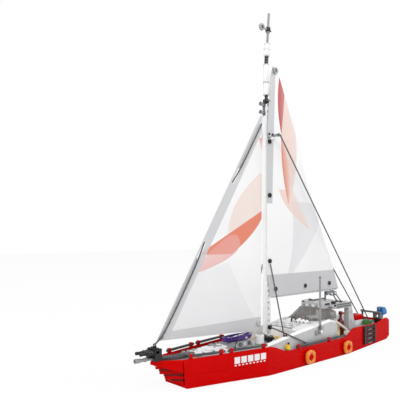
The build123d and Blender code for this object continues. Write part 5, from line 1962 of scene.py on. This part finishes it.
@dataclass
class Line:
    """A cord that runs between two pieces of the boat, with its route in millimetres."""

    name: str
    node: str
    route: tuple[Point, ...]
    slot: str = "stay_cord"
    radius: float = 0.0009
    lay: str = "taut"
    stiffness: str = "medium"
    finish: Finish = Finish.CORD
    pieces: Sequence[bpy.types.Object] = ()

    def curve(self) -> bpy.types.Object:
        """Build the cord as one smooth spline with its points as controls."""
        data = bpy.data.curves.new(self.name, "CURVE")
        data.dimensions = "3D"
        data.bevel_depth = self.radius
        data.bevel_resolution = 4
        data.resolution_u = 16
        data.use_fill_caps = True
        spline = data.splines.new("NURBS")
        spline.points.add(len(self.route) - 1)
        for point, place in zip(spline.points, self.route):
            point.co = (*raised(place), 1.0)
        spline.order_u = min(3, len(self.route))
        spline.use_endpoint_u = True
        data.materials.append(self.finish.material())
        cord = bpy.data.objects.new(self.name, data)
        bpy.context.scene.collection.objects.link(cord)
        return cord

    def length(self) -> float:
        """The spline's own length, from its evaluated points."""
        plain = self.curve()
        plain.data.bevel_depth = 0
        graph = bpy.context.evaluated_depsgraph_get()
        mesh = bpy.data.meshes.new_from_object(plain.evaluated_get(graph))
        total = sum(
            (mesh.vertices[a].co - mesh.vertices[b].co).length for a, b in (e.vertices for e in mesh.edges)
        )
        bpy.data.objects.remove(plain)
        bpy.data.meshes.remove(mesh)
        return total

    def build(self) -> bpy.types.Object:
        length = self.length()
        cord = self.curve()
        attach(cord, "hull")
        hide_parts(self.node)
        tuple(raised(self.route[0]))
        2 * self.radius
        LOG.info("%s: %.1f mm long", self.name, length / MM)
        return cord


@dataclass
class Rigging:
    """The stays, the shrouds, the jib sheet and the anchor hose."""

    forestay: tuple[Point, ...] = (
        (212.4, 0.0, 49.4), (207.5, 1.0, 53.2), (200.0, 2.2, 61.5), (172.0, 2.2, 105.6),
        (150.5, 2.0, 141.5), (138.5, -2.0, 161.0), (112.0, -2.3, 203.0), (92.0, -2.0, 235.3),
        (80.5, 2.0, 254.0), (60.0, 2.3, 286.0), (40.5, 2.2, 317.4),
    )
    backstay: tuple[Point, ...] = ((19.7, 16.5, 303.0), (-212.6, 7.5, 30.4))
    shroud: tuple[Point, ...] = ((29.0, 6.9, 130.6), (29.6, 30.6, 39.2))
    jib_sheet: tuple[Point, ...] = (
        (29.0, 7.3, 46.8), (27.9, 19.5, 44.5), (26.2, 31.6, 41.4), (17.0, 35.8, 36.6), (3.5, 36.15, 30.7),
        (-12.3, 35.9, 24.2),
    )
    hose: tuple[Point, ...] = ((205.0, 0.0, 32.5), (160.0, 4.0, 31.9))

    def build(self) -> None:
        """Build the lines."""
        Line("forestay_line", "forestay", self.forestay).build()
        for side, name in ((1, "port"), (-1, "starboard")):
            backstay = tuple((x, side * y, z) for x, y, z in self.backstay)
            Line(f"backstay_line_{name}", f"backstay_{name}", backstay).build()
            shroud = tuple((x, side * y, z) for x, y, z in self.shroud)
            Line(f"shroud_line_{name}", f"shroud_{name}", shroud).build()
        Line("jib_sheet_line", "jib_sheet", self.jib_sheet).build()
        ribs = self.hose_ribs()
        Line(
            "anchor_hose_line", "anchor_hose", self.hose, "rubber_hose", 0.0029, "taut", "stiff",
            Finish.STONE, (ribs,),
        ).build()
        self.eyes()

    def hose_ribs(self) -> bpy.types.Object:
        """Build the moulded ribs along the hose."""
        start, end = (Vector(place) for place in self.hose)
        shape = Shape("anchor_hose_ribs")
        along = tuple(end - start)
        for index in range(1, 15):
            place = start.lerp(end, index / 15)
            finish = Finish.STONE if index % 3 else Finish.DARK_GREY
            shape.ring(tuple(place), along, 2.75, 0.5, finish)
        return shape.piece(Body.HULL, "rubber_hose")

    def eyes(self) -> None:
        """Build the small eyes and toggles that the lines end in."""
        shape = Shape("line_eyes")
        for x, y, z in (self.backstay[1], self.shroud[1], self.jib_sheet[-1]):
            for side in (1, -1):
                spot = (x, side * y, z)
                shape.turned(
                    [(0, -1.5), (1.3, -1.0), (1.6, 0), (1.3, 1.0), (0, 1.5)], spot, (0, 0, 1), Finish.BLACK,
                    20
                )
        for side in (1, -1):
            shape.rod((-212.6, side * 7.5, 28.8), (-212.6, side * 7.5, 30.6), 1.9, Finish.DARK_GREY)
        x, y, z = self.forestay[0]
        shape.ring((x, y, z - 0.4), (0, 1, 0), 1.5, 0.6, Finish.BLACK)
        x, y, z = self.jib_sheet[2]
        shape.rod((x, y, z - 3.4), (x, y, z - 0.6), 1.1, Finish.BLACK)
        shape.piece(Body.HULL, "black_plastic")


@dataclass
class Antenna:
    """The folding antenna on the port coaming, with its hooked foot."""

    x: float = -41.0
    foot: float = 36.4
    length: float = 76.0
    radius: float = 1.5

    def build(self) -> None:
        """Build the antenna and its foot."""
        box = Extent.of("antenna")
        y = box.middle.y
        shape = Shape("antenna_whip")
        shape.ring((self.x, y, self.foot), (0, 1, 0), 2.4, 0.75, Finish.MID_GREY, 1.9)
        shape.rod(
            (self.x, y, self.foot + 2.4), (self.x, y, self.foot + self.length), self.radius, Finish.MID_GREY,
            1.35
        )
        shape.rod((self.x, y, self.foot + 2.6), (self.x, y, self.foot + 9.0), 1.58, Finish.DARK_GREY)
        shape.turned(
            [(1.5, 0), (1.58, 0.6), (1.3, 1.6), (0, 1.9)], (self.x, y, self.foot + self.length - 2.0),
            (0, 0, 1), Finish.DARK_GREY, 20
        )
        shape.piece(Body.ANTENNA, "dark_grey_plastic", ["antenna"])
        bracket = Shape("antenna_bracket")
        bracket.block((self.x + 5.4, 34.9, self.foot - 3.4), (7.0, 1.8, 2.6), Finish.MID_GREY, 0.5)
        bracket.block((self.x + 8.2, 34.9, self.foot - 1.0), (1.8, 1.8, 6.6), Finish.MID_GREY, 0.5)
        bracket.block((self.x - 8.6, 34.0, self.foot + 2.2), (1.6, 0.6, 5.0), Finish.MID_GREY, 0.15)
        bracket.block((self.x - 8.0, 34.0, self.foot + 4.4), (3.4, 0.6, 1.4), Finish.MID_GREY, 0.15)
        bracket.piece(Body.HULL, "dark_grey_plastic")


# ---------------------------------------------------------------- studio


@dataclass
class Studio:
    """A pale floor, soft lamps and the camera, in metres."""

    camera_place: Point = (0.5401, 0.4587, 0.1742)
    camera_pitch: float = 91.01
    camera_heading: float = 137.69
    lens: float = 45.75
    shift: Flat = (-0.0375, 0.0625)
    floor_half: float = 4.0
    ambient: float = 0.6
    lamps: tuple[tuple[str, Point, float, float], ...] = (
        ("key", (0.9, 1.0, 1.3), 0.9, 11.0),
        ("fill", (1.4, -0.5, 0.8), 1.0, 6.0),
        ("back", (-1.2, 0.9, 1.2), 0.9, 8.0),
    )

    def build(self) -> None:
        """Build the studio."""
        self.floor()
        self.world()
        for name, place, size, power in self.lamps:
            self.lamp(name, place, size, power)
        self.camera()
        bpy.context.scene.view_settings.view_transform = "Standard"

    def floor(self) -> None:
        """Build the floor, which keeps the boat's shadow and is white to the camera."""
        shader = Shader("pale_floor")
        pale = shader.add("ShaderNodeBsdfDiffuse", {}, {"Color": (0.9, 0.9, 0.9, 1), "Roughness": 0.9})
        white = shader.add("ShaderNodeEmission", {}, {"Color": (1, 1, 1, 1), "Strength": 1.0})
        path = shader.add("ShaderNodeLightPath", {}, {})
        seen = Wire(shader, path.outputs["Is Camera Ray"])
        mixed = shader.add(
            "ShaderNodeMixShader", {}, {0: seen * 0.93, 1: pale.outputs[0], 2: white.outputs[0]}
        )
        shader.add("ShaderNodeOutputMaterial", {}, {0: mixed.outputs[0]})
        half = self.floor_half
        mesh = bpy.data.meshes.new("floor")
        mesh.from_pydata(
            [(-half, -half, 0), (half, -half, 0), (half, half, 0), (-half, half, 0)], [], [(0, 1, 2, 3)]
        )
        mesh.materials.append(shader.material)
        floor = bpy.data.objects.new("floor", mesh)
        floor.location.z = -0.0002
        bpy.context.scene.collection.objects.link(floor)

    def world(self) -> None:
        """Light the scene evenly, with a white backdrop for the camera."""
        world = bpy.data.worlds.new("studio")
        bpy.context.scene.world = world
        world.use_nodes = True
        tree = world.node_tree
        tree.nodes.clear()
        path = tree.nodes.new("ShaderNodeLightPath")
        level = tree.nodes.new("ShaderNodeMapRange")
        level.inputs[3].default_value = self.ambient
        level.inputs[4].default_value = 1.0
        light = tree.nodes.new("ShaderNodeBackground")
        light.inputs[0].default_value = (1, 1, 1, 1)
        output = tree.nodes.new("ShaderNodeOutputWorld")
        tree.links.new(path.outputs["Is Camera Ray"], level.inputs[0])
        tree.links.new(level.outputs[0], light.inputs[1])
        tree.links.new(light.outputs[0], output.inputs[0])

    def lamp(self, name: str, place: Point, size: float, power: float) -> None:
        """Add a soft square lamp that faces the boat.

        Args:
            name: The lamp's name.
            place: Where it stands.
            size: Its side.
            power: Its power in watts.
        """
        data = bpy.data.lights.new(name, "AREA")
        data.energy, data.size = power, size
        lamp = bpy.data.objects.new(name, data)
        lamp.location = place
        lamp.rotation_mode = "QUATERNION"
        lamp.rotation_quaternion = (Vector((0, 0, 0.15)) - Vector(place)).to_track_quat("-Z", "Y")
        bpy.context.scene.collection.objects.link(lamp)

    def camera(self) -> None:
        """Add the camera."""
        data = bpy.data.cameras.new("camera")
        data.lens = self.lens
        data.shift_x, data.shift_y = self.shift
        data.clip_start, data.clip_end = 0.01, 50
        camera = bpy.data.objects.new("camera", data)
        camera.location = self.camera_place
        camera.rotation_euler = (math.radians(self.camera_pitch), 0, math.radians(self.camera_heading))
        bpy.context.scene.collection.objects.link(camera)
        bpy.context.scene.camera = camera


def main() -> None:
    """Build the yacht and its studio, sub-assembly by sub-assembly."""
    logging.basicConfig(level=logging.INFO, format="%(name)s: %(message)s")
    Studio().build()
    Rigging().build()
    assemblies = (
        Hull(), Decks(), Rails(), LifeRings(), Ladder(), BowFittings(), Foredeck(), Cabin(), Cockpit(),
        Stern(), Mast(), Boom(), Sails(), Antenna(),
    )
    for assembly in assemblies:
        LOG.info("building %s", type(assembly).__name__)
        assembly.build()


if __name__ == "__main__":
    main()
